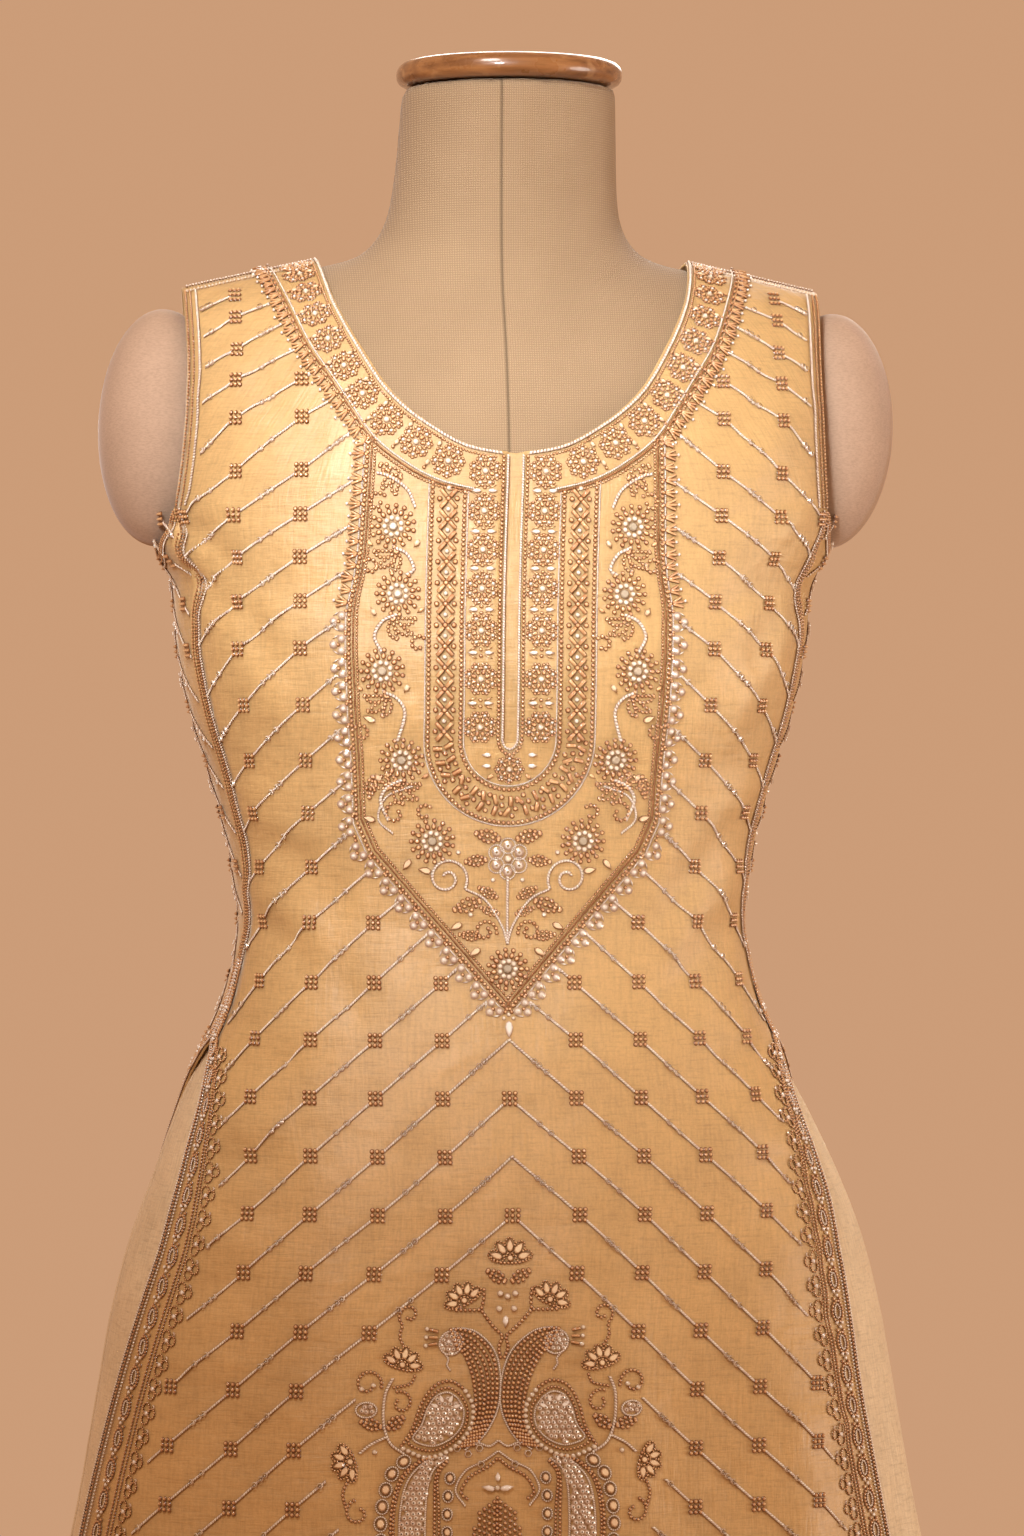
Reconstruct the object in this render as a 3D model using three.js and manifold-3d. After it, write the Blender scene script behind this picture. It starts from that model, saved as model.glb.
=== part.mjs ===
// A sharara set on a dress form: a sleeveless A-line kurta with side slits over flared sharara trousers.
// Millimetres, +Z up, the front faces -Y, and the origin is on the floor under the middle of the stand.
import * as THREE from "three";
import { mergeVertices } from "three/addons/utils/BufferGeometryUtils.js";
import Module from "manifold-3d";

const wasm = await Module();
wasm.setup();

// ---- Driving dimensions -------------------------------------------------------------------------
const CLOTH = 1.6; // thickness of every cloth wall
const SEAM = 0.3; // gap between two pieces that are sewn together
const ROUNDNESS = 2.5; // exponent of the body's oval sections
const ROLL = 1.9; // exponent of the shoulder's roll, seen from the side

const CHEST_Z = 1245; // where the armholes leave the side seams
const SHOULDER_NECK = { x: 104, z: 1385 }; // high point of the shoulder seam
const SHOULDER_TIP = { x: 178, z: 1369 };
const UNDERARM_DROP = 24; // the armhole's lowest point, below CHEST_Z
const UNDERARM_EASE_Z = 1168; // below this the rows are level again
const KURTA_HEM = 385;
const SIDE_SLIT_TOP = 955;
const FRONT_SLIT = { half: 4.3, bottom: 1115 }; // the opening at the centre front
const PLACKET_HALF = 10; // half-width of the strip behind that opening
const PLACKET_THICK = 1.2;

const WAISTBAND = { top: 1015, bottom: 985, thick: 2 };
const CROTCH = { z: 695, joinZ: 860, bend: 5 };
const SHARARA_HEM = 18;
const LEG_SPREAD = 0.02; // how fast the inner walls part below the crotch
const FLUTES = 7; // soft waves round each leg's outer half
const FLUTE_DEPTH = 9; // at the hem
const FLUTE_TOP = 640; // where they begin

const FORM_BOTTOM = 800;
const ARM_PLATE_X = 174; // flat ends of the form's shoulders
const ARM = { x: 188, z: 1291, out: 35, depth: 42, tall: 66 };
const CAP = { bottom: 1481.3, top: 1496, radius: 63 };
const POLE = { x: 62, radius: 16 };
const BASE = { radius: 190, thick: 10 };

// Outer faces of the kurta, from the chest down
const KURTA = [
  { z: 1245, half: 190, front: 118, back: 98 },
  { z: 1229, half: 189, front: 119, back: 98 },
  { z: 1200, half: 178, front: 121, back: 99 },
  { z: 1168, half: 175, front: 122, back: 100 },
  { z: 1136, half: 168.5, front: 119, back: 98 },
  { z: 1095, half: 156, front: 109, back: 93 },
  { z: 1050, half: 145, front: 102, back: 90 },
  { z: 1017, half: 141, front: 99, back: 91 },
  { z: 995, half: 144, front: 101, back: 95 },
  { z: 972, half: 150, front: 106, back: 101 },
  { z: 944, half: 163, front: 112, back: 110 },
  { z: 916, half: 175.5, front: 118, back: 119 },
  { z: 888, half: 188, front: 124, back: 126 },
  { z: 832, half: 209.5, front: 134, back: 138 },
  { z: 748, half: 229, front: 147, back: 152 },
  { z: 672, half: 245.5, front: 158, back: 163 },
  { z: 500, half: 282, front: 183, back: 188 },
  { z: 385, half: 306, front: 199, back: 204 },
];

// Outer faces of the sharara
const SHARARA = [
  { z: 1015, half: 137, front: 95, back: 87 },
  { z: 985, half: 142, front: 98.5, back: 93 },
  { z: 972, half: 145.5, front: 101.5, back: 96.5 },
  { z: 944, half: 157, front: 107.5, back: 105.5 },
  { z: 916, half: 171, front: 113.5, back: 114.5 },
  { z: 888, half: 183, front: 119.5, back: 121.5 },
  { z: 832, half: 204, front: 129.5, back: 133.5 },
  { z: 748, half: 223, front: 142, back: 147 },
  { z: 672, half: 239, front: 153, back: 158 },
  { z: 500, half: 275, front: 178, back: 183 },
  { z: 385, half: 299, front: 194, back: 199 },
  { z: 200, half: 334, front: 221, back: 224 },
  { z: 18, half: 362, front: 246, back: 246 },
];

// How far the dress form lies inside the kurta's outer face
const FORM_INSET = [
  { z: 1396, inset: 3.9 },
  { z: 1350, inset: 4 },
  { z: 1300, inset: 4.4 },
  { z: 1245, inset: 5 },
  { z: 1168, inset: 5 },
  { z: 1050, inset: 7 },
  { z: 1015, inset: 7.4 },
  { z: 985, inset: 7.4 },
  { z: 972, inset: 8.5 },
  { z: 944, inset: 11 },
  { z: 888, inset: 22 },
  { z: 832, inset: 38 },
  { z: 800, inset: 48 },
];

// Side edges of the two kurta panels: angle round the body from the centre front, in degrees
const SIDE_EDGES = [
  { z: 1245, front: 70, back: 70, backInner: 108 },
  { z: 1205, front: 67, back: 67, backInner: 108 },
  { z: 1164, front: 71, back: 71, backInner: 108 },
  { z: 1050, front: 72, back: 72, backInner: 108 },
  { z: 1012, front: 78, back: 78, backInner: 110 },
  { z: 972, front: 80, back: 80, backInner: 112 },
  { z: 955, front: 80, back: 80, backInner: 114 },
  { z: 944, front: 75, back: 86, backInner: 116 },
  { z: 916, front: 68.5, back: 97, backInner: 120 },
  { z: 870, front: 64, back: 104, backInner: 123 },
  { z: 832, front: 61, back: 107, backInner: 125 },
  { z: 672, front: 62, back: 111, backInner: 127 },
  { z: 385, front: 62, back: 113, backInner: 128 },
];

// How far the front panel swings sideways below the slits
const SWING = [
  { z: 955, x: 0 },
  { z: 860, x: -4 },
  { z: 748, x: -13 },
  { z: 672, x: -15 },
  { z: 385, x: -17 },
];

// How far the form, and what it carries, leans sideways
const LEAN = [
  { z: 870, x: 0 },
  { z: 955, x: -4 },
  { z: 1160, x: -4 },
  { z: 1300, x: 0 },
  { z: 1385, x: 1.5 },
  { z: 1445, x: 4 },
  { z: 1496, x: 5.5 },
];

// Armhole edge above the chest, as a distance from the middle
const ARMHOLE = [
  { z: 1245, front: 181, back: 181 },
  { z: 1277, front: 178, back: 176 },
  { z: 1320, front: 176, back: 173 },
  { z: 1369, front: 178, back: 178 },
];

// Necklines: at a distance from the middle, the share of the shoulder's roll that is climbed
const NECKLINE = [
  { x: 0, front: 0.116, back: 0.4 },
  { x: 23.5, front: 0.137, back: 0.425 },
  { x: 48, front: 0.199, back: 0.463 },
  { x: 68, front: 0.284, back: 0.508 },
  { x: 84, front: 0.419, back: 0.576 },
  { x: 96, front: 0.583, back: 0.686 },
  { x: 100, front: 0.7, back: 0.79 },
  { x: 102.6, front: 0.85, back: 0.89 },
  { x: 104, front: 1, back: 1 },
];

// The form's neck: half-width, half-depth, how far its front drops, and its middle in Y
const NECK = [
  { z: 1340, half: 92, depth: 76, drop: 30, middle: -2 },
  { z: 1372, half: 85, depth: 71, drop: 24, middle: -4 },
  { z: 1388, half: 78, depth: 66, drop: 18, middle: -5 },
  { z: 1400, half: 68, depth: 61, drop: 12, middle: -6 },
  { z: 1418, half: 63.5, depth: 59, drop: 5, middle: -7 },
  { z: 1445, half: 61.3, depth: 58, drop: 0, middle: -9 },
  { z: 1481, half: 59.6, depth: 57, drop: 0, middle: -12 },
];

// ---- Materials ----------------------------------------------------------------------------------
const material = (color, roughness, metalness = 0) =>
  new THREE.MeshStandardMaterial({ color, roughness, metalness });
const silk = material("#cda463", 0.45);
const plainSilk = material("#c9a76a", 0.45);
const canvas = material("#c8ac7c", 0.9);
const jersey = material("#d9ae92", 0.85);
const polishedWood = material("#9c6231", 0.3);
const steel = material("#8d8a86", 0.35, 0.9);

// ---- Tables and sections ------------------------------------------------------------------------
// Smooth reading of a table: cubic between rows, without overshoot.
function read(table, key, at, column) {
  const rows = table[0][key] < table[table.length - 1][key] ? table : [...table].reverse();
  const last = rows.length - 1;
  if (at <= rows[0][key]) return rows[0][column];
  if (at >= rows[last][key]) return rows[last][column];
  const rise = (i) => (rows[i + 1][column] - rows[i][column]) / (rows[i + 1][key] - rows[i][key]);
  const slope = (i) => {
    if (i === 0) return rise(0);
    if (i === last) return rise(last - 1);
    const [before, after] = [rise(i - 1), rise(i)];
    return before * after <= 0 ? 0 : (2 * before * after) / (before + after);
  };
  const i = rows.findIndex((row) => row[key] > at) - 1;
  const span = rows[i + 1][key] - rows[i][key];
  const t = (at - rows[i][key]) / span;
  const [u, v] = [t * t * (3 - 2 * t), t * (1 - t)];
  const straight = rows[i][column] * (1 - u) + rows[i + 1][column] * u;
  return straight + span * v * (slope(i) * (1 - t) - slope(i + 1) * t);
}

const radians = (degrees) => (degrees * Math.PI) / 180;
const bow = (value) => Math.sign(value) * Math.abs(value) ** (2 / ROUNDNESS);

// A point of an oval section, at an angle from the centre front.
function onOval(table, z, degrees, inset = 0) {
  const angle = radians(degrees);
  const half = read(table, "z", z, "half") - inset;
  const depth = read(table, "z", z, Math.cos(angle) > 0 ? "front" : "back") - inset;
  return new THREE.Vector3(half * bow(Math.sin(angle)), -depth * bow(Math.cos(angle)), z);
}

// The same section, at a distance x from the middle. side is -1 for the front and 1 for the back.
function acrossOval(table, z, x, side, inset = 0) {
  const half = read(table, "z", z, "half") - inset;
  const depth = read(table, "z", z, side < 0 ? "front" : "back") - inset;
  const share = Math.min(Math.abs(x) / half, 1);
  return new THREE.Vector3(x, side * depth * (1 - share ** ROUNDNESS) ** (1 / ROUNDNESS), z);
}

function shoulderHeight(x) {
  const out = Math.abs(x) - SHOULDER_NECK.x;
  const fall = (SHOULDER_NECK.z - SHOULDER_TIP.z) / (SHOULDER_TIP.x - SHOULDER_NECK.x);
  return SHOULDER_NECK.z - out * fall;
}

// A point above the chest: roll runs from 0 at the chest to 1 on top of the shoulder.
function onShoulder(x, roll, side, inset = 0) {
  const angle = (roll * Math.PI) / 2;
  const reach = Math.abs(acrossOval(KURTA, CHEST_Z, x, side, inset).y);
  const top = shoulderHeight(x) - inset;
  const height = CHEST_Z + (top - CHEST_Z) * Math.sin(angle) ** (2 / ROLL);
  const depth = Math.max(reach * Math.cos(angle) ** (2 / ROLL), SEAM / 2);
  return new THREE.Vector3(x, side * depth, height);
}

// How far a point lies outside the kurta's outer face, as a number that is 0 on it.
function outside({ x, y, z }) {
  const side = y < 0 ? "front" : "back";
  if (z <= CHEST_Z) {
    const half = read(KURTA, "z", z, "half");
    const depth = read(KURTA, "z", z, side);
    return Math.abs(x / half) ** ROUNDNESS + Math.abs(y / depth) ** ROUNDNESS - 1;
  }
  const reach = Math.abs(acrossOval(KURTA, CHEST_Z, x, y < 0 ? -1 : 1).y);
  const height = (z - CHEST_Z) / (shoulderHeight(x) - CHEST_Z);
  return Math.abs(y / reach) ** ROLL + height ** ROLL - 1;
}

// The kurta's outward normal, the same on both sides of a seam.
function kurtaNormal(point) {
  const step = 0.05;
  const slope = (axis) => {
    const [ahead, behind] = [point.clone(), point.clone()];
    ahead[axis] += step;
    behind[axis] -= step;
    return outside(ahead) - outside(behind);
  };
  return new THREE.Vector3(slope("x"), slope("y"), slope("z")).normalize();
}

// ---- Walls --------------------------------------------------------------------------------------
// A mesh's geometry from a list of corner points, three to a triangle.
function fromCorners(corners) {
  const values = corners.flatMap((p) => [p.x, p.y, p.z]);
  const geometry = new THREE.BufferGeometry();
  geometry.setAttribute("position", new THREE.Float32BufferAttribute(values, 3));
  geometry.computeVertexNormals();
  return geometry;
}

// Outward normals of a grid of points, rows[i][j], whose rows run upwards.
function gridNormals(rows, closed = false) {
  const count = rows[0].length;
  return rows.map((row, i) =>
    row.map((_, j) => {
      const next = closed ? (j + 1) % count : Math.min(j + 1, count - 1);
      const last = closed ? (j - 1 + count) % count : Math.max(j - 1, 0);
      const across = row[next].clone().sub(row[last]);
      const above = rows[Math.min(i + 1, rows.length - 1)][j];
      const below = rows[Math.max(i - 1, 0)][j];
      return across.cross(above.clone().sub(below)).normalize();
    }),
  );
}

const shifted = (rows, normals, by) =>
  rows.map((row, i) => row.map((point, j) => point.clone().addScaledVector(normals[i][j], by)));

// A closed wall between an outer and an inner grid, on the cells that has(i, j) keeps.
function wallBetween(outer, inner, has = () => true, closed = false) {
  const [high, wide] = [outer.length - 1, outer[0].length - (closed ? 0 : 1)];
  const column = (j) => j % outer[0].length;
  const kept = (i, j) => {
    const inside = i >= 0 && i < high && (closed || (j >= 0 && j < wide));
    return inside && has(i, closed ? (j + wide) % wide : j);
  };
  const corners = [];
  const quad = (a, b, c, d) => corners.push(a, b, c, a, c, d);
  for (let i = 0; i < high; i++) {
    for (let j = 0; j < wide; j++) {
      if (!kept(i, j)) continue;
      const [left, right] = [column(j), column(j + 1)];
      const face = (grid) => [grid[i][left], grid[i][right], grid[i + 1][right], grid[i + 1][left]];
      const [a, b, c, d] = face(outer);
      const [e, f, g, h] = face(inner);
      quad(a, b, c, d);
      quad(h, g, f, e);
      if (!kept(i - 1, j)) quad(e, f, b, a);
      if (!kept(i + 1, j)) quad(d, c, g, h);
      if (!kept(i, j - 1)) quad(a, d, h, e);
      if (!kept(i, j + 1)) quad(b, f, g, c);
    }
  }
  return fromCorners(corners);
}

// A cloth wall whose outer face is the grid.
function clothWall(rows, normals, has) {
  return wallBetween(rows, shifted(rows, normals, -CLOTH), has);
}

const group = new THREE.Group();

function add(name, geometry, look) {
  const places = geometry.getAttribute("position");
  for (let i = 0; i < places.count; i++) {
    places.setX(i, places.getX(i) + read(LEAN, "z", places.getZ(i), "x"));
  }
  const mesh = new THREE.Mesh(geometry, look);
  mesh.name = name;
  group.add(mesh);
}

// ---- The kurta's panels -------------------------------------------------------------------------
const LOWER_ROWS = [
  KURTA_HEM, 440, 510, 590, 672, 730, 785, 832, 870, 900, 928, SIDE_SLIT_TOP, 985, 1015, 1047, 1080,
  FRONT_SLIT.bottom, 1142, UNDERARM_EASE_Z, 1192, 1216, CHEST_Z,
];
const ROLL_ROWS = [0.16, 0.32, 0.46, 0.59, 0.71, 0.82, 0.92, 1]; // shares of the shoulder's roll

// Columns, as distances from the middle at the shoulder; the armhole's edge is the last.
const FRONT_HALF = [
  FRONT_SLIT.half, PLACKET_HALF, 23.5, 36, 48, 58, 68, 77, 85, 92, 97, 100.5, 102.6, 104, 122, 142, 161,
  178,
];
const BACK_HALF = [18, 36, 54, 70, 84, 93, 99, 102.6, 104, 122, 142, 161, 178];
const toShares = (half) => [...half.map((x) => -x).reverse(), 0, ...half].map((x) => x / SHOULDER_TIP.x);
const FRONT_COLUMNS = toShares(FRONT_HALF);
const BACK_COLUMNS = toShares(BACK_HALF);
const UNDERARM_COLUMNS = 4;

// Where a column ends above the chest, as a share of the shoulder's roll.
function columnTop(share, side) {
  const x = Math.abs(share * SHOULDER_TIP.x);
  return read(NECKLINE, "x", x, side < 0 ? "front" : "back");
}

// A point above the chest in one column, at a share of the column's own height.
function upperPoint(share, climb, side) {
  const roll = climb * columnTop(share, side);
  const straight = onShoulder(share * SHOULDER_TIP.x, roll, side);
  const edge = read(ARMHOLE, "z", straight.z, side < 0 ? "front" : "back");
  return onShoulder(share * edge, roll, side);
}

const seamAngle = (z) => ((SEAM / 2) * 180) / (Math.PI * read(KURTA, "z", z, "half"));

function frontPoint(share, z) {
  const edge = onOval(KURTA, z, read(SIDE_EDGES, "z", z, "front") - seamAngle(z)).x;
  return acrossOval(KURTA, z, share * edge + read(SWING, "z", z, "x"), -1);
}

// A back point: |share| up to 1 runs across the back, and from 1 to 2 on round the side to the edge.
function backPoint(share, z) {
  const turn = read(SIDE_EDGES, "z", z, "backInner");
  if (Math.abs(share) <= 1) return acrossOval(KURTA, z, share * onOval(KURTA, z, turn).x, 1);
  const edge = read(SIDE_EDGES, "z", z, "back") + seamAngle(z);
  const angle = turn + (edge - turn) * (Math.abs(share) - 1);
  const reach = Math.max((z - UNDERARM_EASE_Z) / (CHEST_Z - UNDERARM_EASE_Z), 0);
  const drop = UNDERARM_DROP * reach * Math.sin(Math.PI * (Math.abs(share) - 1));
  return onOval(KURTA, z - drop, Math.sign(share) * angle);
}

const chestRow = LOWER_ROWS.indexOf(CHEST_Z);
const slitRow = LOWER_ROWS.indexOf(FRONT_SLIT.bottom);
const middle = FRONT_HALF.length;

const frontRows = [
  ...LOWER_ROWS.map((z) => FRONT_COLUMNS.map((share) => frontPoint(share, z))),
  ...ROLL_ROWS.map((climb) => FRONT_COLUMNS.map((share) => upperPoint(share, climb, -1))),
];
const inFrontSlit = (i, j) => i >= slitRow && (j === middle || j === middle - 1);
const frontNormals = frontRows.map((row) => row.map(kurtaNormal));
add("kurta_front", clothWall(frontRows, frontNormals, (i, j) => !inFrontSlit(i, j)), silk);

// Seen from behind, the back's columns run the other way.
const sideShares = Array.from({ length: UNDERARM_COLUMNS }, (_, k) => 1 + (k + 1) / UNDERARM_COLUMNS);
const backShares = [...sideShares.map((s) => -s).reverse(), ...BACK_COLUMNS, ...sideShares].reverse();
const backRows = [
  ...LOWER_ROWS.map((z) => backShares.map((share) => backPoint(share, z))),
  ...ROLL_ROWS.map((climb) =>
    backShares.map((share) => upperPoint(THREE.MathUtils.clamp(share, -1, 1), climb, 1))),
];
const overBack = (j) => j >= UNDERARM_COLUMNS && j < backShares.length - 1 - UNDERARM_COLUMNS;
const backNormals = backRows.map((row) => row.map(kurtaNormal));
add("kurta_back", clothWall(backRows, backNormals, (i, j) => i < chestRow || overBack(j)), silk);

// The strip behind the front opening, made from the front's inner face.
const plackRows = frontRows.slice(slitRow - 1).map((row) => row.slice(middle - 2, middle + 3));
const plackNormals = frontNormals.slice(slitRow - 1).map((row) => row.slice(middle - 2, middle + 3));
add("slit_placket", wallBetween(
  shifted(plackRows, plackNormals, -CLOTH - SEAM),
  shifted(plackRows, plackNormals, -CLOTH - SEAM - PLACKET_THICK),
), plainSilk);

// ---- The sharara --------------------------------------------------------------------------------
const LEG_ROWS = [18, 70, 130, 200, 280, 360, 440, 520, 600, 665, 720, 770, 815, 860, 895, 925, 950, 968,
  WAISTBAND.bottom - SEAM];
const LEG_ANGLES = [90, 80, 70, 60, 50, 40, 30, 21, 13, 6, 0];
const INNER_SHARES = [0.86, 0.66, 0.44, 0.22, 0];

// Soft waves that open towards the hem, uneven round the leg.
function flute(z, degrees) {
  const open = THREE.MathUtils.clamp((FLUTE_TOP - z) / (FLUTE_TOP - SHARARA_HEM), 0, 1) ** 1.5;
  const turn = radians(degrees);
  return open * FLUTE_DEPTH * (0.8 * Math.cos(2 * FLUTES * turn) + 0.2 * Math.cos(6 * turn) - 1);
}

const legInner = (z) => SEAM / 2 + LEG_SPREAD * Math.max(CROTCH.z - z, 0);

// One leg's panel on one side (-1 front, 1 back): along the body to its middle, then in to the inseam.
function legRow(z, side, sign) {
  const outer = LEG_ANGLES.map((from) => {
    const gap = from === 90 ? seamAngle(z) : 0;
    const degrees = side < 0 ? from - gap : 180 - from + gap;
    const point = onOval(SHARARA, z, degrees, -flute(z, degrees));
    point.x = Math.max(point.x, legInner(z));
    return point;
  });
  const middleDepth = Math.abs(outer[outer.length - 1].y);
  const inner = INNER_SHARES.map((share) => {
    const depth = Math.max(share * middleDepth, SEAM / 2);
    return new THREE.Vector3(legInner(z), side * depth, z);
  });
  const row = [...outer, ...inner];
  row.forEach((point) => { point.x *= sign; });
  return row;
}

// The crotch seam's height at a share of the body's depth
const crotchHeight = (share) => CROTCH.z + (CROTCH.joinZ - CROTCH.z) * share ** CROTCH.bend;

function legPanel(side, sign) {
  const bodyColumns = LEG_ANGLES.length - 1;
  const joinRow = LEG_ROWS.indexOf(CROTCH.joinZ);
  const rows = LEG_ROWS.map((z, i) => {
    const row = legRow(z, side, sign);
    return row.map((point, j) => {
      if (j <= bodyColumns || i > joinRow) return point;
      const share = INNER_SHARES[j - bodyColumns - 1];
      const up = (z - SHARARA_HEM) / (CROTCH.joinZ - SHARARA_HEM);
      return legRow(SHARARA_HEM + up * (crotchHeight(share) - SHARARA_HEM), side, sign)[j];
    });
  });
  const turned = side * sign > 0 ? rows : rows.map((row) => [...row].reverse());
  const cells = turned[0].length - 1;
  const onBody = (j) => (side * sign > 0 ? j < bodyColumns : j >= cells - bodyColumns);
  return clothWall(turned, gridNormals(turned), (i, j) => i < joinRow || onBody(j));
}
for (const [name, sign] of [["left", -1], ["right", 1]]) {
  add(`sharara_front_${name}`, legPanel(-1, sign), plainSilk);
  add(`sharara_back_${name}`, legPanel(1, sign), plainSilk);
}

// The casing at the waist
const BAND_STEPS = 48;
const around = Array.from({ length: BAND_STEPS }, (_, k) => (360 * k) / BAND_STEPS);
const bandRows = [WAISTBAND.bottom, WAISTBAND.top].map((z) => around.map((a) => onOval(SHARARA, z, a)));
const bandInner = shifted(bandRows, gridNormals(bandRows, true), -WAISTBAND.thick);
add("sharara_waistband", wallBetween(bandRows, bandInner, undefined, true), plainSilk);

// ---- The dress form -----------------------------------------------------------------------------
// A closed solid from rings of points that run the same way round, lowest first.
function ringSolid(rings) {
  const corners = [];
  const count = rings[0].length;
  for (let i = 0; i < rings.length - 1; i++) {
    for (let j = 0; j < count; j++) {
      const next = (j + 1) % count;
      const [a, b, c, d] = [rings[i][j], rings[i][next], rings[i + 1][next], rings[i + 1][j]];
      corners.push(a, b, c, a, c, d);
    }
  }
  const [bottom, top] = [rings[0], rings[rings.length - 1]];
  for (let j = 0; j < count / 2 - 1; j++) {
    const [other, beyond] = [count - 1 - j, count - 2 - j];
    corners.push(bottom[j], bottom[beyond], bottom[j + 1], bottom[j], bottom[other], bottom[beyond]);
    corners.push(top[j], top[j + 1], top[beyond], top[j], top[beyond], top[other]);
  }
  return fromCorners(corners);
}

const TORSO_ROWS = [800, 830, 865, 900, 935, 965, 985, 1015, 1050, 1095, 1136, 1168, 1205, 1225];
const TORSO_ROLLS = [0, 0.2, 0.4, 0.58, 0.75, 0.9, 0.985];
const TORSO_SIDES = 18; // columns on each of the front and the back
const PLATE_SHARE = 0.82; // of each column count that lies before the flat arm plates

// Ring columns run from the viewer's left across the front and back round behind.
const across = Array.from({ length: TORSO_SIDES }, (_, k) => -1 + (2 * k + 1) / TORSO_SIDES);
const inset = (z) => read(FORM_INSET, "z", z, "inset");

function torsoRing(pointAt) {
  const front = across.map((share) => pointAt(share, -1));
  const back = [...across].reverse().map((share) => pointAt(share, 1));
  return [...front, ...back];
}

// Below the chest, equal steps of angle; the plates cut the width off.
function lowerTorso(z) {
  const wide = Math.min(read(KURTA, "z", z, "half") - inset(z), ARM_PLATE_X);
  return torsoRing((share, side) => {
    const angle = (share * Math.PI) / 2;
    const depth = read(KURTA, "z", z, side < 0 ? "front" : "back") - inset(z);
    return new THREE.Vector3(wide * bow(Math.sin(angle)), side * depth * bow(Math.cos(angle)), z);
  });
}

function upperTorso(roll) {
  return torsoRing((share, side) => {
    const angle = (share * Math.PI) / 2;
    const flat = Math.max(Math.abs(share) - PLATE_SHARE, 0) / (1 - PLATE_SHARE);
    const turn = Math.min(Math.abs(angle) / (PLATE_SHARE * (Math.PI / 2)), 1);
    const x = Math.sign(share) * ARM_PLATE_X * bow(Math.sin((turn * Math.PI) / 2));
    const guess = onShoulder(x, roll, side);
    const point = onShoulder(x, roll, side, inset(guess.z));
    point.y *= 1 - flat;
    return point;
  });
}

function solidFrom(geometry) {
  const bare = geometry.clone();
  bare.deleteAttribute("normal");
  if (bare.getAttribute("uv")) bare.deleteAttribute("uv");
  const merged = mergeVertices(bare, 1e-4);
  return new wasm.Manifold(new wasm.Mesh({
    numProp: 3,
    vertProperties: merged.getAttribute("position").array,
    triVerts: new Uint32Array(merged.index.array),
  }));
}

function geometryFrom(solid) {
  const { vertProperties, triVerts } = solid.getMesh();
  const geometry = new THREE.BufferGeometry();
  geometry.setAttribute("position", new THREE.BufferAttribute(vertProperties, 3));
  geometry.setIndex(new THREE.BufferAttribute(triVerts, 1));
  return geometry.toNonIndexed();
}

const NECK_SIDES = 28;
const neckRings = NECK.map(({ z, half, depth, drop, middle: at }) =>
  Array.from({ length: NECK_SIDES }, (_, k) => {
    const angle = radians(-90 + (360 * (k + 0.5)) / NECK_SIDES);
    const ahead = Math.cos(angle);
    const fall = ahead > 0 ? drop * ahead : 0;
    return new THREE.Vector3(half * Math.sin(angle), at - depth * ahead, z - fall);
  }),
);
const torsoRings = [...TORSO_ROWS.map(lowerTorso), ...TORSO_ROLLS.map(upperTorso)];
const torso = solidFrom(ringSolid(torsoRings)).add(solidFrom(ringSolid(neckRings)));
add("form_torso", geometryFrom(torso), canvas);

// Padded arm caps: an oval pad with a flat back against the plate.
const PAD_RINGS = 7;
const PAD_SIDES = 24;
function armPad(sign) {
  const start = Math.acos((ARM_PLATE_X + SEAM - ARM.x) / ARM.out);
  const rings = Array.from({ length: PAD_RINGS }, (_, i) => {
    const angle = start * (1 - i / (PAD_RINGS - 1)) + radians(8) * (i / (PAD_RINGS - 1));
    const x = sign * (ARM.x + ARM.out * Math.cos(angle));
    const size = Math.sin(angle);
    return Array.from({ length: PAD_SIDES }, (_, k) => {
      const turn = sign * radians((360 * (k + 0.5)) / PAD_SIDES);
      const [y, rise] = [ARM.depth * size * Math.sin(turn), -ARM.tall * size * Math.cos(turn)];
      return new THREE.Vector3(x, y, ARM.z + rise);
    });
  });
  return ringSolid(rings);
}
add("form_arm_left", armPad(-1), jersey);
add("form_arm_right", armPad(1), jersey);

// The turned cap on the neck
const capMiddle = NECK[NECK.length - 1].middle;
const capHeight = CAP.top - CAP.bottom;
const capProfile = [
  [0, 0], [CAP.radius - 4, 0], [CAP.radius, 4], [CAP.radius, capHeight - 6],
  [CAP.radius - 4, capHeight - 1.5], [CAP.radius - 12, capHeight], [0, capHeight],
].map(([r, h]) => new THREE.Vector2(r, h));
const cap = new THREE.LatheGeometry(capProfile, 28);
cap.rotateX(Math.PI / 2);
cap.translate(0, capMiddle, CAP.bottom);
add("form_cap", cap, polishedWood);

// ---- The stand ----------------------------------------------------------------------------------
// The pole runs down inside one leg, because the crotch closes the way down the middle.
const poleBottom = BASE.thick + SEAM;
const poleTop = FORM_BOTTOM - SEAM;
const pole = new THREE.CylinderGeometry(POLE.radius, POLE.radius, poleTop - poleBottom, 24);
pole.rotateX(Math.PI / 2);
pole.translate(POLE.x, 0, (poleTop + poleBottom) / 2);
add("stand_pole", pole, steel);

const baseProfile = [
  [0, 0], [BASE.radius, 0], [BASE.radius, BASE.thick - 3], [BASE.radius - 3, BASE.thick], [0, BASE.thick],
].map(([r, h]) => new THREE.Vector2(r, h));
const base = new THREE.LatheGeometry(baseProfile, 36);
base.rotateX(Math.PI / 2);
add("stand_base", base, steel);

export default group;
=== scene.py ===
import math
from collections import defaultdict

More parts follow.
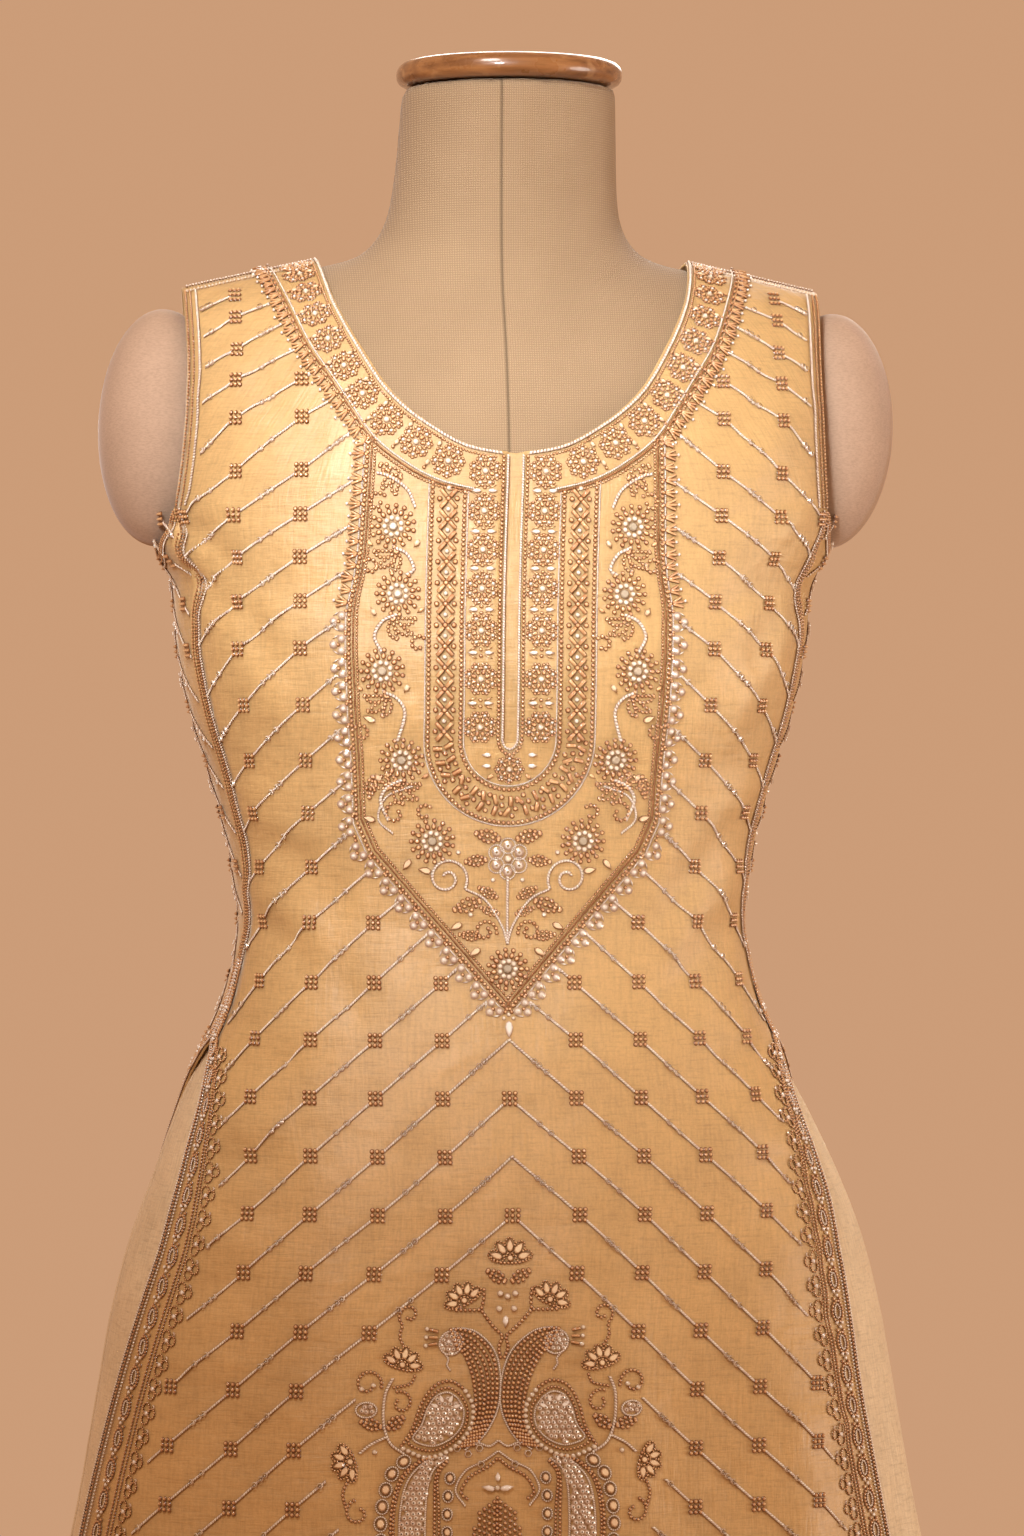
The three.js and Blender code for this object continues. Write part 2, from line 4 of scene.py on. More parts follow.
import bpy
import numpy as np
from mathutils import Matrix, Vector


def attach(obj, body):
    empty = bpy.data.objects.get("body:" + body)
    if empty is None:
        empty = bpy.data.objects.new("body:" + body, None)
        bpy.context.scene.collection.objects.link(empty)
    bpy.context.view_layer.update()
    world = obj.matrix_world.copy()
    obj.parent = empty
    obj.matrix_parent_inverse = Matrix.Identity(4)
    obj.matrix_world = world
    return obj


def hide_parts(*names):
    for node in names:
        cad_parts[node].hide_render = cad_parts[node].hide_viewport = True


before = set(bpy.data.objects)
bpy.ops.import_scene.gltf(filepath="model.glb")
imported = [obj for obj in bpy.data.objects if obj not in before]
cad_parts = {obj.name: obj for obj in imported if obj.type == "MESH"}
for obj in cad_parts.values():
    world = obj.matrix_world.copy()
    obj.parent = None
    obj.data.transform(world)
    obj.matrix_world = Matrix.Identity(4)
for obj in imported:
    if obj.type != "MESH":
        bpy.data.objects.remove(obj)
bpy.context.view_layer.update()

MM = 0.001
RNG = np.random.default_rng(11)

# ---- Driving dimensions, in millimetres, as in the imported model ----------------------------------
SHELL = 1.3  # thickness of the dressed cloth
SEAM = 0.3
ROUNDNESS = 2.5
ROLL = 1.9
CHEST_Z = 1245.0
NECK_X, NECK_Z = 104.0, 1385.0
TIP_X, TIP_Z = 178.0, 1369.0
UNDERARM_DROP = 24.0
UNDERARM_EASE_Z = 1168.0
KURTA_HEM = 385.0
SLIT_TOP = 955.0
OPENING_HALF, OPENING_BOTTOM = 4.3, 1115.0
WAISTBAND_BOTTOM, WAISTBAND_TALL = 985.0, 30.0
PLACKET_THICK, WAISTBAND_THICK = 1.1, 1.8
CROTCH_Z, CROTCH_JOIN_Z, CROTCH_BEND = 695.0, 860.0, 5.0
SHARARA_HEM = 18.0
LEG_SPREAD = 0.02
FLUTES, FLUTE_DEPTH, FLUTE_TOP = 7, 9.0, 640.0
ARM_PLATE_X = 174.0


def table(names, *rows):
    return {name: np.array(column, float) for name, column in zip(names.split(), zip(*rows))}


KURTA = table(
    "z half front back",
    (385, 306, 199, 204), (500, 282, 183, 188), (672, 245.5, 158, 163), (748, 229, 147, 152),
    (832, 209.5, 134, 138), (888, 188, 124, 126), (916, 175.5, 118, 119), (944, 163, 112, 110),
    (972, 150, 106, 101), (995, 144, 101, 95), (1017, 141, 99, 91), (1050, 145, 102, 90),
    (1095, 156, 109, 93), (1136, 168.5, 119, 98), (1168, 175, 122, 100), (1200, 178, 121, 99),
    (1229, 189, 119, 98), (1245, 190, 118, 98),
)
SHARARA = table(
    "z half front back",
    (18, 362, 246, 246), (200, 334, 221, 224), (385, 299, 194, 199), (500, 275, 178, 183),
    (672, 239, 153, 158), (748, 223, 142, 147), (832, 204, 129.5, 133.5), (888, 183, 119.5, 121.5),
    (916, 171, 113.5, 114.5), (944, 157, 107.5, 105.5), (972, 145.5, 101.5, 96.5),
    (985, 142, 98.5, 93), (1015, 137, 95, 87),
)
FORM_INSET = table(
    "z inset",
    (800, 48), (832, 38), (888, 22), (944, 11), (972, 8.5), (985, 7.4), (1015, 7.4), (1050, 7),
    (1168, 5), (1245, 5), (1300, 4.4), (1350, 4), (1396, 3.9),
)
SIDE_EDGES = table(
    "z front back inner",
    (385, 62, 113, 128), (672, 62, 111, 127), (832, 61, 107, 125), (870, 64, 104, 123),
    (916, 68.5, 97, 120), (944, 75, 86, 116), (955, 80, 80, 114), (972, 80, 80, 112),
    (1012, 78, 78, 110), (1050, 72, 72, 108), (1164, 71, 71, 108), (1205, 67, 67, 108),
    (1245, 70, 70, 108),
)
SWING = table("z x", (385, -17), (672, -15), (748, -13), (860, -4), (955, 0))
LEAN = table(
    "z x", (870, 0), (955, -4), (1160, -4), (1300, 0), (1385, 1.5), (1445, 4), (1496, 5.5)
)
ARMHOLE = table("z front back", (1245, 181, 181), (1277, 178, 176), (1320, 176, 173), (1369, 178, 178))
NECKLINE = table(
    "x front back",
    (0, 0.116, 0.4), (23.5, 0.137, 0.425), (48, 0.199, 0.463), (68, 0.284, 0.508),
    (84, 0.419, 0.576), (96, 0.583, 0.686), (100, 0.7, 0.79), (102.6, 0.85, 0.89), (104, 1, 1),
)
NECK = table(
    "z half depth drop middle",
    (1330, 95, 78, 33, -2), (1340, 92, 76, 30, -2), (1372, 85, 71, 24, -4), (1388, 78, 66, 18, -5),
    (1400, 68, 61, 12, -6), (1418, 63.5, 59, 5, -7), (1445, 61.3, 58, 0, -9), (1481, 59.6, 57, 0, -12),
)

# ---- Reading the tables --------------------------------------------------------------------------


def read(rows, key, at, column):
    """Smooth reading of a table: cubic between rows, without overshoot."""
    x, y = rows[key], rows[column]
    at = np.clip(np.asarray(at, float), x[0], x[-1])
    rise = np.diff(y) / np.diff(x)
    slope = np.empty_like(y)
    slope[0], slope[-1] = rise[0], rise[-1]
    product = rise[:-1] * rise[1:]
    total = rise[:-1] + rise[1:]
    safe = np.where(product > 0, total, 1.0)
    slope[1:-1] = np.where(product > 0, 2 * product / safe, 0.0)
    i = np.clip(np.searchsorted(x, at, side="right") - 1, 0, len(x) - 2)
    span = x[i + 1] - x[i]
    t = (at - x[i]) / span
    u = t * t * (3 - 2 * t)
    straight = y[i] * (1 - u) + y[i + 1] * u
    return straight + span * t * (1 - t) * (slope[i] * (1 - t) - slope[i + 1] * t)


def unit(vectors):
    """Vectors along the last axis, at length 1."""
    return vectors / np.maximum(np.linalg.norm(vectors, axis=-1, keepdims=True), 1e-12)


def stacked(*parts):
    """Coordinates that broadcast together, along a new last axis."""
    return np.stack(np.broadcast_arrays(*parts), -1)


def bow(value):
    """A sine or cosine, bent from an ellipse to the fuller oval of the sections."""
    return np.sign(value) * np.abs(value) ** (2 / ROUNDNESS)


def sections(rows, z, back):
    """A section's half-width, and its depth on one side."""
    half = read(rows, "z", z, "half")
    depth = np.where(back, read(rows, "z", z, "back"), read(rows, "z", z, "front"))
    return half, depth


def on_oval(rows, z, degrees):
    """Points of oval sections, at an angle from the centre front."""
    angle = np.radians(degrees)
    half, depth = sections(rows, z, np.cos(angle) <= 0)
    return stacked(half * bow(np.sin(angle)), -depth * bow(np.cos(angle)), z)


def across_oval(z, x, side, inset=0.0):
    """Points of the kurta's sections by their x, on the front (side -1) or the back (1)."""
    half, depth = sections(KURTA, z, side > 0)
    share = np.clip(np.abs(x) / (half - inset), 0, 1)
    return stacked(x, side * (depth - inset) * (1 - share**ROUNDNESS) ** (1 / ROUNDNESS), z)


def shoulder_height(x):
    """The height of the shoulder seam, from the neck to its tip."""
    return NECK_Z - (np.abs(x) - NECK_X) * (NECK_Z - TIP_Z) / (TIP_X - NECK_X)


def on_shoulder(x, roll, side, inset=0.0):
    """Points above the chest: roll runs from 0 at the chest to 1 on top of the shoulder."""
    angle = np.asarray(roll) * np.pi / 2
    reach = np.abs(across_oval(CHEST_Z, x, side, inset)[..., 1])
    top = shoulder_height(x) - inset
    height = CHEST_Z + (top - CHEST_Z) * np.sin(angle) ** (2 / ROLL)
    depth = np.maximum(reach * np.abs(np.cos(angle)) ** (2 / ROLL), SEAM / 2)
    return stacked(x, side * depth, height)


def lean(points):
    """Points shifted sideways, as the photo's form leans."""
    moved = points.copy()
    moved[..., 0] += read(LEAN, "z", points[..., 2], "x")
    return moved


def outside(points):
    """A number that is 0 on the kurta's outer face and grows outwards."""
    x, y, z = points[..., 0], points[..., 1], points[..., 2]
    half, depth = sections(KURTA, z, y > 0)
    low = np.abs(x / half) ** ROUNDNESS + np.abs(y / depth) ** ROUNDNESS - 1
    reach = np.abs(across_oval(CHEST_Z, x, np.where(y > 0, 1, -1))[..., 1])
    height = np.clip(z - CHEST_Z, 0, None) / (shoulder_height(x) - CHEST_Z)
    high = np.abs(y / np.maximum(reach, 1)) ** ROLL + height**ROLL - 1
    return np.where(z <= CHEST_Z, low, high)


def shoulder_round(x, y, z):
    """The depth y of the chest, drawn in above it towards the shoulder seam."""
    share = np.clip((z - CHEST_Z) / (shoulder_height(x) - CHEST_Z), 0, 0.9999)
    return np.where(z <= CHEST_Z, y, y * (1 - share**ROLL) ** (1 / ROLL))


def kurta_normals(points):
    """Outward directions of the kurta's smooth form."""
    step = 0.05
    slopes = []
    for axis in np.eye(3):
        slopes.append(outside(points + step * axis) - outside(points - step * axis))
    return unit(np.stack(slopes, -1))


# ---- Creases -------------------------------------------------------------------------------------
# Soft troughs (negative height) and ridges, each along a bent line: ends, sideways bend, half-width
# and height. x is measured from the middle, before the lean.
CREASES = table(
    "x0 z0 x1 z1 bend wide high",
    # bunching and drag lines under the viewer's left arm
    (-186, 1236, -150, 1205, 6, 5.0, -3.2), (-184, 1226, -140, 1178, 8, 5.5, 2.6),
    (-180, 1214, -128, 1150, 10, 6.5, -2.6), (-176, 1247, -146, 1238, 3, 4.0, 2.2),
    (-172, 1196, -118, 1118, 8, 8.0, 1.6), (-160, 1226, -112, 1190, -7, 7.0, -1.6),
    (-150, 1215, -96, 1168, -6, 9.0, 1.3),
    # the same under the right arm
    (186, 1234, 146, 1198, 5, 5.5, -3.0), (184, 1222, 150, 1176, -7, 5.0, 2.4),
    (178, 1210, 136, 1146, -9, 7.0, -2.2), (172, 1244, 148, 1230, -3, 4.5, 2.0),
    (168, 1186, 120, 1112, -6, 8.5, 1.5), (156, 1222, 104, 1182, 6, 8.0, -1.4),
    # over the shoulders
    (-168, 1352, -128, 1286, 5, 6.0, -1.1), (-150, 1330, -120, 1262, -4, 7.0, 0.9),
    (-174, 1312, -136, 1258, 4, 6.5, 0.9), (166, 1350, 132, 1290, -5, 6.0, -1.0),
    (172, 1306, 128, 1250, -4, 7.5, 0.9), (140, 1338, 122, 1276, 3, 6.0, -0.8),
    # dimples at the waist
    (-138, 1066, -84, 1020, 5, 8.0, -2.1), (-142, 1040, -92, 984, 7, 7.0, 1.9),
    (-136, 1018, -76, 962, 6, 9.0, -1.8), (-142, 1092, -98, 1060, -4, 8.0, 1.4),
    (136, 1072, 90, 1022, -5, 8.0, -1.9), (138, 1046, 86, 990, -7, 7.5, 1.8),
    (134, 1014, 82, 968, -5, 8.5, -1.7), (142, 1100, 104, 1068, 4, 8.0, 1.2),
    (-60, 988, 34, 972, 5, 13.0, -1.2), (-30, 950, 72, 944, -6, 15.0, 1.1),
    # puckers along the beaded side borders
    (-150, 930, -112, 944, 4, 6.0, -1.9), (-156, 905, -118, 912, -3, 6.0, 1.6),
    (-166, 876, -122, 890, 4, 7.0, -1.8), (-172, 846, -130, 852, -3, 6.5, 1.4),
    (-180, 812, -136, 826, 3, 7.0, -1.6), (-186, 780, -146, 786, -3, 7.0, 1.4),
    (154, 938, 112, 948, -4, 6.0, -1.8), (160, 900, 122, 914, 3, 6.0, 1.5),
    (168, 868, 126, 880, -4, 7.0, -1.7), (172, 838, 134, 846, 3, 6.5, 1.3),
    (180, 796, 138, 812, -3, 7.0, -1.5), (186, 742, 142, 756, 3, 7.0, 1.3),
    # broad soft waves of the hanging skirt
    (-98, 930, -150, 420, 10, 24, 3.2), (-34, 880, -58, 400, -8, 26, -3.0),
    (30, 900, 46, 395, 8, 26, 2.6), (92, 930, 132, 410, -8, 24, -3.2),
    (-150, 800, -214, 400, 6, 18, -2.6), (150, 800, 200, 400, -6, 18, 2.4),
    (-6, 700, 4, 395, 4, 20, 2.0), (70, 640, 92, 390, 5, 18, 2.2), (-92, 650, -112, 392, -5, 18, 2.0),
)
# The back's, on its own x
BACK_CREASES = table(
    "x0 z0 x1 z1 bend wide high",
    (-176, 1230, -120, 1176, 8, 7.0, -2.6), (-170, 1208, -110, 1140, 8, 8.0, 2.2),
    (176, 1232, 124, 1180, -8, 7.0, -2.4), (168, 1206, 112, 1136, -7, 8.0, 2.0),
    (-130, 1080, -60, 1030, 6, 9.0, -2.2), (-134, 1044, -40, 1006, 6, 9.0, 2.0),
    (132, 1078, 66, 1026, -6, 9.0, -2.1), (130, 1040, 44, 1000, -6, 9.5, 1.9),
    (-90, 1004, 60, 984, 6, 12, -1.7), (-40, 1052, 92, 1060, -5, 12, 1.4),
    (-20, 1290, 10, 1120, 5, 20, -1.8), (-110, 1330, -92, 1200, 5, 13, 1.4),
    (112, 1326, 96, 1204, -5, 13, -1.4), (-80, 940, -128, 410, 9, 24, 3.2),
    (-24, 900, -40, 395, -8, 26, -3.0), (36, 930, 58, 400, 8, 25, 2.8),
    (96, 900, 150, 400, -8, 24, -3.2), (-140, 820, -206, 400, 6, 18, -2.5),
    (146, 820, 212, 400, -6, 18, 2.4), (4, 640, 10, 392, 4, 18, 2.2),
)


CREASE_GAIN = 1.45
CREASE_LIMIT = 3.3  # the deepest trough, so that the cloth stays clear of the form
CREASE_TOP = 1368.0  # creases fade out below the shoulder seams


def crease_height(x, z, creases):
    """The cloth's rise over its smooth form at points (x, z)."""
    total = np.zeros(np.broadcast(x, z).shape)
    for x0, z0, x1, z1, bend, wide, high in zip(*creases.values()):
        along = np.array([x1 - x0, z1 - z0])
        length = np.hypot(*along)
        along = along / length
        t = ((x - x0) * along[0] + (z - z0) * along[1]) / length
        off = -(x - x0) * along[1] + (z - z0) * along[0] - bend * np.sin(np.pi * np.clip(t, 0, 1))
        fade = np.exp(-(np.clip(np.abs(t - 0.5) - 0.28, 0, None) / 0.17) ** 2)
        total += CREASE_GAIN * high * fade * np.exp(-((off / wide) ** 2))
    total = np.where(total < 0, -CREASE_LIMIT * np.tanh(-total / CREASE_LIMIT), total)
    return total * np.clip((CREASE_TOP - z) / 40, 0, 1)


# ---- Cloth coordinates ---------------------------------------------------------------------------


class Round:
    """Distances round the kurta's sections, from the centre front or back, at each height."""

    UP, ALONG, DEGREE = 5.0, 2.0, 0.5  # steps of height, distance and angle

    def __init__(self):
        self.z = np.arange(KURTA_HEM, CHEST_Z + 1, self.UP)
        self.degrees = np.arange(0, 180 + self.DEGREE, self.DEGREE)
        points = on_oval(KURTA, self.z[:, None], self.degrees[None, :])
        steps = np.linalg.norm(np.diff(points, axis=1), axis=-1)
        front = np.concatenate([np.zeros((len(self.z), 1)), np.cumsum(steps, 1)], 1)
        self.reach = {False: front, True: front[:, -1:] - front}
        self.u = np.arange(0.0, 900.0, self.ALONG)
        self.turn = {
            False: np.array([np.interp(self.u, row, self.degrees) for row in front]),
            True: np.array([
                np.interp(self.u, row[::-1], self.degrees[::-1]) for row in self.reach[True]
            ]),
        }

    def looked_up(self, values, z, column):
        """The value between the four nearest ones of a grid of heights and columns."""
        up = np.clip((np.asarray(z) - self.z[0]) / self.UP, 0, len(self.z) - 1.001)
        column = np.clip(column, 0, values.shape[1] - 1.001)
        i, j = up.astype(int), column.astype(int)
        a, b = up - i, column - j
        low = values[i, j] * (1 - b) + values[i, j + 1] * b
        high = values[i + 1, j] * (1 - b) + values[i + 1, j + 1] * b
        return low * (1 - a) + high * a

    def angle(self, u, z, back):
        """The angle from the centre front at a distance u round the body."""
        return self.looked_up(self.turn[back], z, np.abs(u) / self.ALONG)

    def distance(self, degrees, z, back):
        """The distance round the body at an angle from the centre front."""
        return self.looked_up(self.reach[back], z, np.asarray(degrees, float) / self.DEGREE)


ROUND = Round()


def round_x(u, z, back=False):
    """The x at a distance u from the centre line of the front, or of the back."""
    level = np.minimum(z, CHEST_Z) + 0.0 * u
    angle = np.radians(ROUND.angle(u, level, back))
    return np.sign(u) * read(KURTA, "z", level, "half") * bow(np.sin(angle))


def dressed(points, height, bare=False):
    """The smooth form's points with creases, and their normals. bare leaves both out, to measure."""
    if bare:
        return points, None
    normals = kurta_normals(points)
    return lean(points + normals * height(points)[..., None]), normals


def on_front(x, z, bare=False):
    """The dressed front, at x from its centre line."""
    x, z = np.broadcast_arrays(np.asarray(x, float), np.asarray(z, float))
    body_x = x + read(SWING, "z", z, "x")
    y = across_oval(np.minimum(z, CHEST_Z), body_x, -1)[..., 1]
    return dressed(stacked(body_x, shoulder_round(body_x, y, z), z), front_height, bare)


def on_back(u, z, bare=False):
    """The dressed back, at a distance u round from its centre line, towards +X."""
    u, z = np.broadcast_arrays(np.asarray(u, float), np.asarray(z, float))
    level = np.minimum(z, CHEST_Z)
    low = on_oval(KURTA, level, ROUND.angle(u, level, True))
    x = np.sign(u) * low[..., 0]
    return dressed(stacked(x, shoulder_round(x, low[..., 1], z), z), back_height, bare)


def front_height(points):
    return crease_height(points[..., 0], points[..., 2], CREASES)


def back_height(points):
    """The back's creases, with those of the front on the stretch that turns round the side."""
    behind = np.clip((points[..., 1] + 20) / 70, 0, 1)
    back = crease_height(points[..., 0], points[..., 2], BACK_CREASES)
    return front_height(points) * (1 - behind) + back * behind


# ---- Meshes --------------------------------------------------------------------------------------


def new_object(name, points, faces, material, smooth=True, cloth=None):
    """A mesh object from points in millimetres. cloth holds the weave's coordinates."""
    points = np.asarray(points, float)
    used = np.unique(np.concatenate([np.ravel(f) for f in faces]))
    places = np.full(len(points), -1)
    places[used] = np.arange(len(used))
    mesh = bpy.data.meshes.new(name)
    lists = []
    for group in faces:
        lists += places[np.asarray(group)].tolist()
    mesh.from_pydata((points[used] * MM).tolist(), [], lists)
    mesh.validate()
    mesh.polygons.foreach_set("use_smooth", [smooth] * len(mesh.polygons))
    mesh.materials.append(material)
    piece = bpy.data.objects.new(name, mesh)
    bpy.context.scene.collection.objects.link(piece)
    if cloth is not None:
        add_uv(piece, cloth[used])
    return piece


def wall(name, outer, normals, thick, material, keep=None):
    """A closed cloth wall whose outer face is a grid of points."""
    rows, columns = outer.shape[:2]
    inner = outer - normals * thick
    number = np.arange(rows * columns).reshape(rows, columns)
    under = number + rows * columns
    keep = np.ones((rows - 1, columns - 1), bool) if keep is None else keep

    def quads(a, b, c, d, mask):
        return np.stack([a[mask], b[mask], c[mask], d[mask]], -1)

    corners = [number[:-1, :-1], number[:-1, 1:], number[1:, 1:], number[1:, :-1]]
    below = [under[:-1, :-1], under[:-1, 1:], under[1:, 1:], under[1:, :-1]]
    faces = [quads(*corners, keep), quads(*below[::-1], keep)]
    padded = np.pad(keep, 1)
    sides = [  # an edge's two corners, and the cell beyond it
        (0, 1, padded[:-2, 1:-1]), (1, 2, padded[1:-1, 2:]),
        (2, 3, padded[2:, 1:-1]), (3, 0, padded[1:-1, :-2]),
    ]
    for a, b, beyond in sides:
        mask = keep & ~beyond
        faces.append(quads(below[a], below[b], corners[b], corners[a], mask))
    points = np.concatenate([outer.reshape(-1, 3), inner.reshape(-1, 3)])
    cloth = np.tile(cloth_uv(outer).reshape(-1, 2), (2, 1))
    return new_object(name, points, faces, material, cloth=cloth)


def grid_normals(grid):
    return unit(np.cross(np.gradient(grid, axis=1), np.gradient(grid, axis=0)))


# ---- The garment's panels ------------------------------------------------------------------------


def column_top(x, side):
    """How far a column of points climbs, up to the neckline or the shoulder seam (1)."""
    return read(NECKLINE, "x", np.abs(x), "front" if side < 0 else "back")


def upper_points(share, climb, side):
    """Points above the chest, in columns that end at the neckline or the shoulder seam."""
    roll = climb * column_top(share * TIP_X, side)
    straight = on_shoulder(share * TIP_X, roll, side)
    edge = read(ARMHOLE, "z", straight[..., 2], "front" if side < 0 else "back")
    return on_shoulder(share * edge, roll, side)


def seam_angle(z):
    """Half the gap of a side seam, in degrees round the section."""
    return SEAM / 2 * 180 / (np.pi * read(KURTA, "z", z, "half"))


def front_points(share, z):
    edge = on_oval(KURTA, z, read(SIDE_EDGES, "z", z, "front") - seam_angle(z))[..., 0]
    return across_oval(z, share * edge + read(SWING, "z", z, "x"), -1)


def back_points(share, z):
    """|share| up to 1 runs across the back, and from 1 to 2 on round the side to the edge."""
    turn = read(SIDE_EDGES, "z", z, "inner")
    flat = across_oval(z, np.clip(share, -1, 1) * on_oval(KURTA, z, turn)[..., 0], 1)
    beyond = np.clip(np.abs(share) - 1, 0, 1)
    edge = read(SIDE_EDGES, "z", z, "back") + seam_angle(z)
    reach = np.clip((z - UNDERARM_EASE_Z) / (CHEST_Z - UNDERARM_EASE_Z), 0, None)
    drop = UNDERARM_DROP * reach * np.sin(np.pi * beyond)
    round_side = on_oval(KURTA, z - drop, turn + (edge - turn) * beyond)
    round_side = round_side * stacked(np.sign(share), 1.0, 1.0)
    return np.where((np.abs(share) <= 1)[..., None], flat, round_side)


def heights(low, high, pitch, *fixed):
    """Row heights at about one pitch that include the fixed ones."""
    stops = sorted({low, high, *fixed})
    rows = [low]
    for a, b in zip(stops, stops[1:]):
        count = max(int(round((b - a) / pitch)), 1)
        rows += list(np.linspace(a, b, count + 1)[1:])
    return np.array(rows)


def mirrored(half):
    """Column distances with their mirror images and the middle."""
    return np.concatenate([-np.array(half)[::-1], [0.0], half])


GRID_PITCH = 8.0
LOWER = heights(KURTA_HEM, CHEST_Z, GRID_PITCH, OPENING_BOTTOM, SLIT_TOP)
CLIMBS = np.linspace(0, 1, 27)[1:]  # above the chest
SIDE_TURN = np.linspace(1, 2, 13)[1:]  # where the back comes round the side
STEEP_STOPS = (92, 100)
BACK_STOPS = (10, *STEEP_STOPS, NECK_X, TIP_X)
FRONT_STOPS = (OPENING_HALF, *BACK_STOPS)


def half_columns(stops):
    """Column distances at the shoulder, close together where the neckline is steep."""
    found = []
    for a, b in zip(stops, stops[1:]):
        pitch = 1.0 if a in STEEP_STOPS else 5.0
        found += list(np.linspace(a, b, max(int(round((b - a) / pitch)), 1) + 1)[1:])
    return [stops[0]] + found


def cloth_uv(grid):
    """Distances across and up a grid of points, in metres, for the weave."""
    across = np.linalg.norm(np.diff(grid, axis=1), axis=-1)
    across = np.concatenate([np.zeros((len(grid), 1)), np.cumsum(across, 1)], 1)
    across -= across[:, [across.shape[1] // 2]]
    return np.stack([across, grid[..., 2]], -1) * MM


def add_uv(piece, coordinates):
    layer = piece.data.uv_layers.new(name="cloth")
    corners = np.empty(len(piece.data.loops), int)
    piece.data.loops.foreach_get("vertex_index", corners)
    layer.data.foreach_set("uv", coordinates[corners].ravel())


def surface_area(grid, keep):
    """The area of a grid's kept cells, in square metres."""
    diagonal = grid[1:, 1:] - grid[:-1, :-1]
    other = grid[1:, :-1] - grid[:-1, 1:]
    cells = np.linalg.norm(np.cross(diagonal, other), axis=-1) / 2
    return float(cells[keep].sum() * MM * MM)


def kurta_front(material):
    shares = mirrored(half_columns(FRONT_STOPS)) / TIP_X
    low = front_points(shares[None, :], LOWER[:, None])
    high = upper_points(shares[None, :], CLIMBS[:, None], -1)
    grid, normals = dressed(np.concatenate([low, high]), front_height)
    middle = len(shares) // 2
    keep = np.ones((len(grid) - 1, len(shares) - 1), bool)
    slit_row = int(np.searchsorted(LOWER, OPENING_BOTTOM))
    keep[slit_row:, middle - 1:middle + 1] = False
    piece = wall("front_panel", grid, normals, SHELL, material, keep)
    return piece, surface_area(grid, keep), grid, normals, slit_row, middle


def kurta_back(material):
    across = mirrored(half_columns(BACK_STOPS)) / TIP_X
    shares = np.concatenate([-SIDE_TURN[::-1], across, SIDE_TURN])[::-1]
    low = back_points(*np.broadcast_arrays(shares[None, :], LOWER[:, None]))
    high = upper_points(np.clip(shares, -1, 1)[None, :], CLIMBS[:, None], 1)
    grid, normals = dressed(np.concatenate([low, high]), back_height)
    keep = np.ones((len(grid) - 1, len(shares) - 1), bool)
    keep[len(LOWER) - 1:, :len(SIDE_TURN)] = False
    keep[len(LOWER) - 1:, -len(SIDE_TURN):] = False
    piece = wall("back_panel", grid, normals, SHELL, material, keep)
    return piece, surface_area(grid, keep)


def placket(grid, normals, slit_row, middle, material):
    """The strip behind the front opening, made from the front's points."""
    rows = slice(slit_row - 2, None)
    columns = slice(middle - 2, middle + 3)
    outer = grid[rows, columns] - normals[rows, columns] * (SHELL + SEAM)
    return wall("opening_strip", outer, normals[rows, columns], PLACKET_THICK, material)


# ---- The sharara ---------------------------------------------------------------------------------


def flute(z, degrees):
    """Soft waves that open towards the hem, uneven round the leg."""
    open_share = np.clip((FLUTE_TOP - z) / (FLUTE_TOP - SHARARA_HEM), 0, 1) ** 1.5
    turn = np.radians(degrees)
    return open_share * FLUTE_DEPTH * (0.8 * np.cos(2 * FLUTES * turn) + 0.2 * np.cos(6 * turn) - 1)


# Soft folds of the legs: where each starts, how far it drifts round on its way down, and its size
LEG_FOLDS = table(
    "turn top low wide deep drift",
    (14, 640, 20, 4.5, -4.5, 4), (27, 560, 30, 5.0, 4.0, -3), (39, 760, 18, 4.0, -4.0, 5),
    (55, 500, 24, 5.5, 4.5, 2), (66, 820, 18, 4.5, -3.6, -6), (81, 880, 120, 6.0, -3.0, 5),
    (97, 700, 18, 5.0, -4.2, 3), (112, 540, 22, 4.5, 4.2, -3), (126, 790, 18, 4.5, -4.2, 4),
    (143, 520, 30, 5.0, 3.8, 4), (158, 680, 20, 4.0, -4.4, -5), (204, 600, 18, 5.0, -4.6, 3),
    (219, 730, 24, 4.0, -3.8, -4), (233, 480, 18, 5.5, 4.4, 3), (248, 860, 60, 5.5, -3.2, 6),
    (263, 560, 18, 4.5, 3.8, -2), (277, 810, 18, 5.0, -3.8, -5), (292, 640, 26, 4.5, -4.4, 4),
    (306, 500, 18, 5.0, 4.2, -3), (321, 770, 20, 4.5, -4.0, 5), (334, 540, 30, 4.5, 3.6, 3),
    (346, 690, 18, 4.0, -4.2, -4),
)


RIDGE_TOP = 378.0  # folds that stand out start here, below the kurta's hem
SWELL_BOTTOM, SWELL_TOP, SWELL_TURN, SWELL_HEIGHT = 700.0, 972.0, 99.0, 4.2


def fold_height(z, turn):
    """The rise of the legs' folds."""
    total = np.zeros(np.broadcast(z, turn).shape)
    for centre, top, low, wide, deep, drift in zip(*LEG_FOLDS.values()):
        down = np.clip((top - z) / (top - low), 0, 1)
        fade = np.clip((top - z) / 160, 0, 1) ** 1.5
        total += deep * fade * np.exp(-(((turn - centre - drift * down) / wide) ** 2))
    return np.where(total > 0, total * np.clip((RIDGE_TOP - z) / 70, 0, 1), total)


def side_swell(z, degrees):
    """The sharara stands out at the hips, up against the kurta's back, where its slits open."""
    height = np.clip((z - SWELL_BOTTOM) / 90, 0, 1) * np.clip((SWELL_TOP - z) / 30, 0, 1)
    return SWELL_HEIGHT * height * np.exp(-(((degrees - SWELL_TURN) / 18) ** 2))


def leg_inner(z):
    """The inseam's distance from the middle."""
    return SEAM / 2 + LEG_SPREAD * np.clip(CROTCH_Z - z, 0, None)


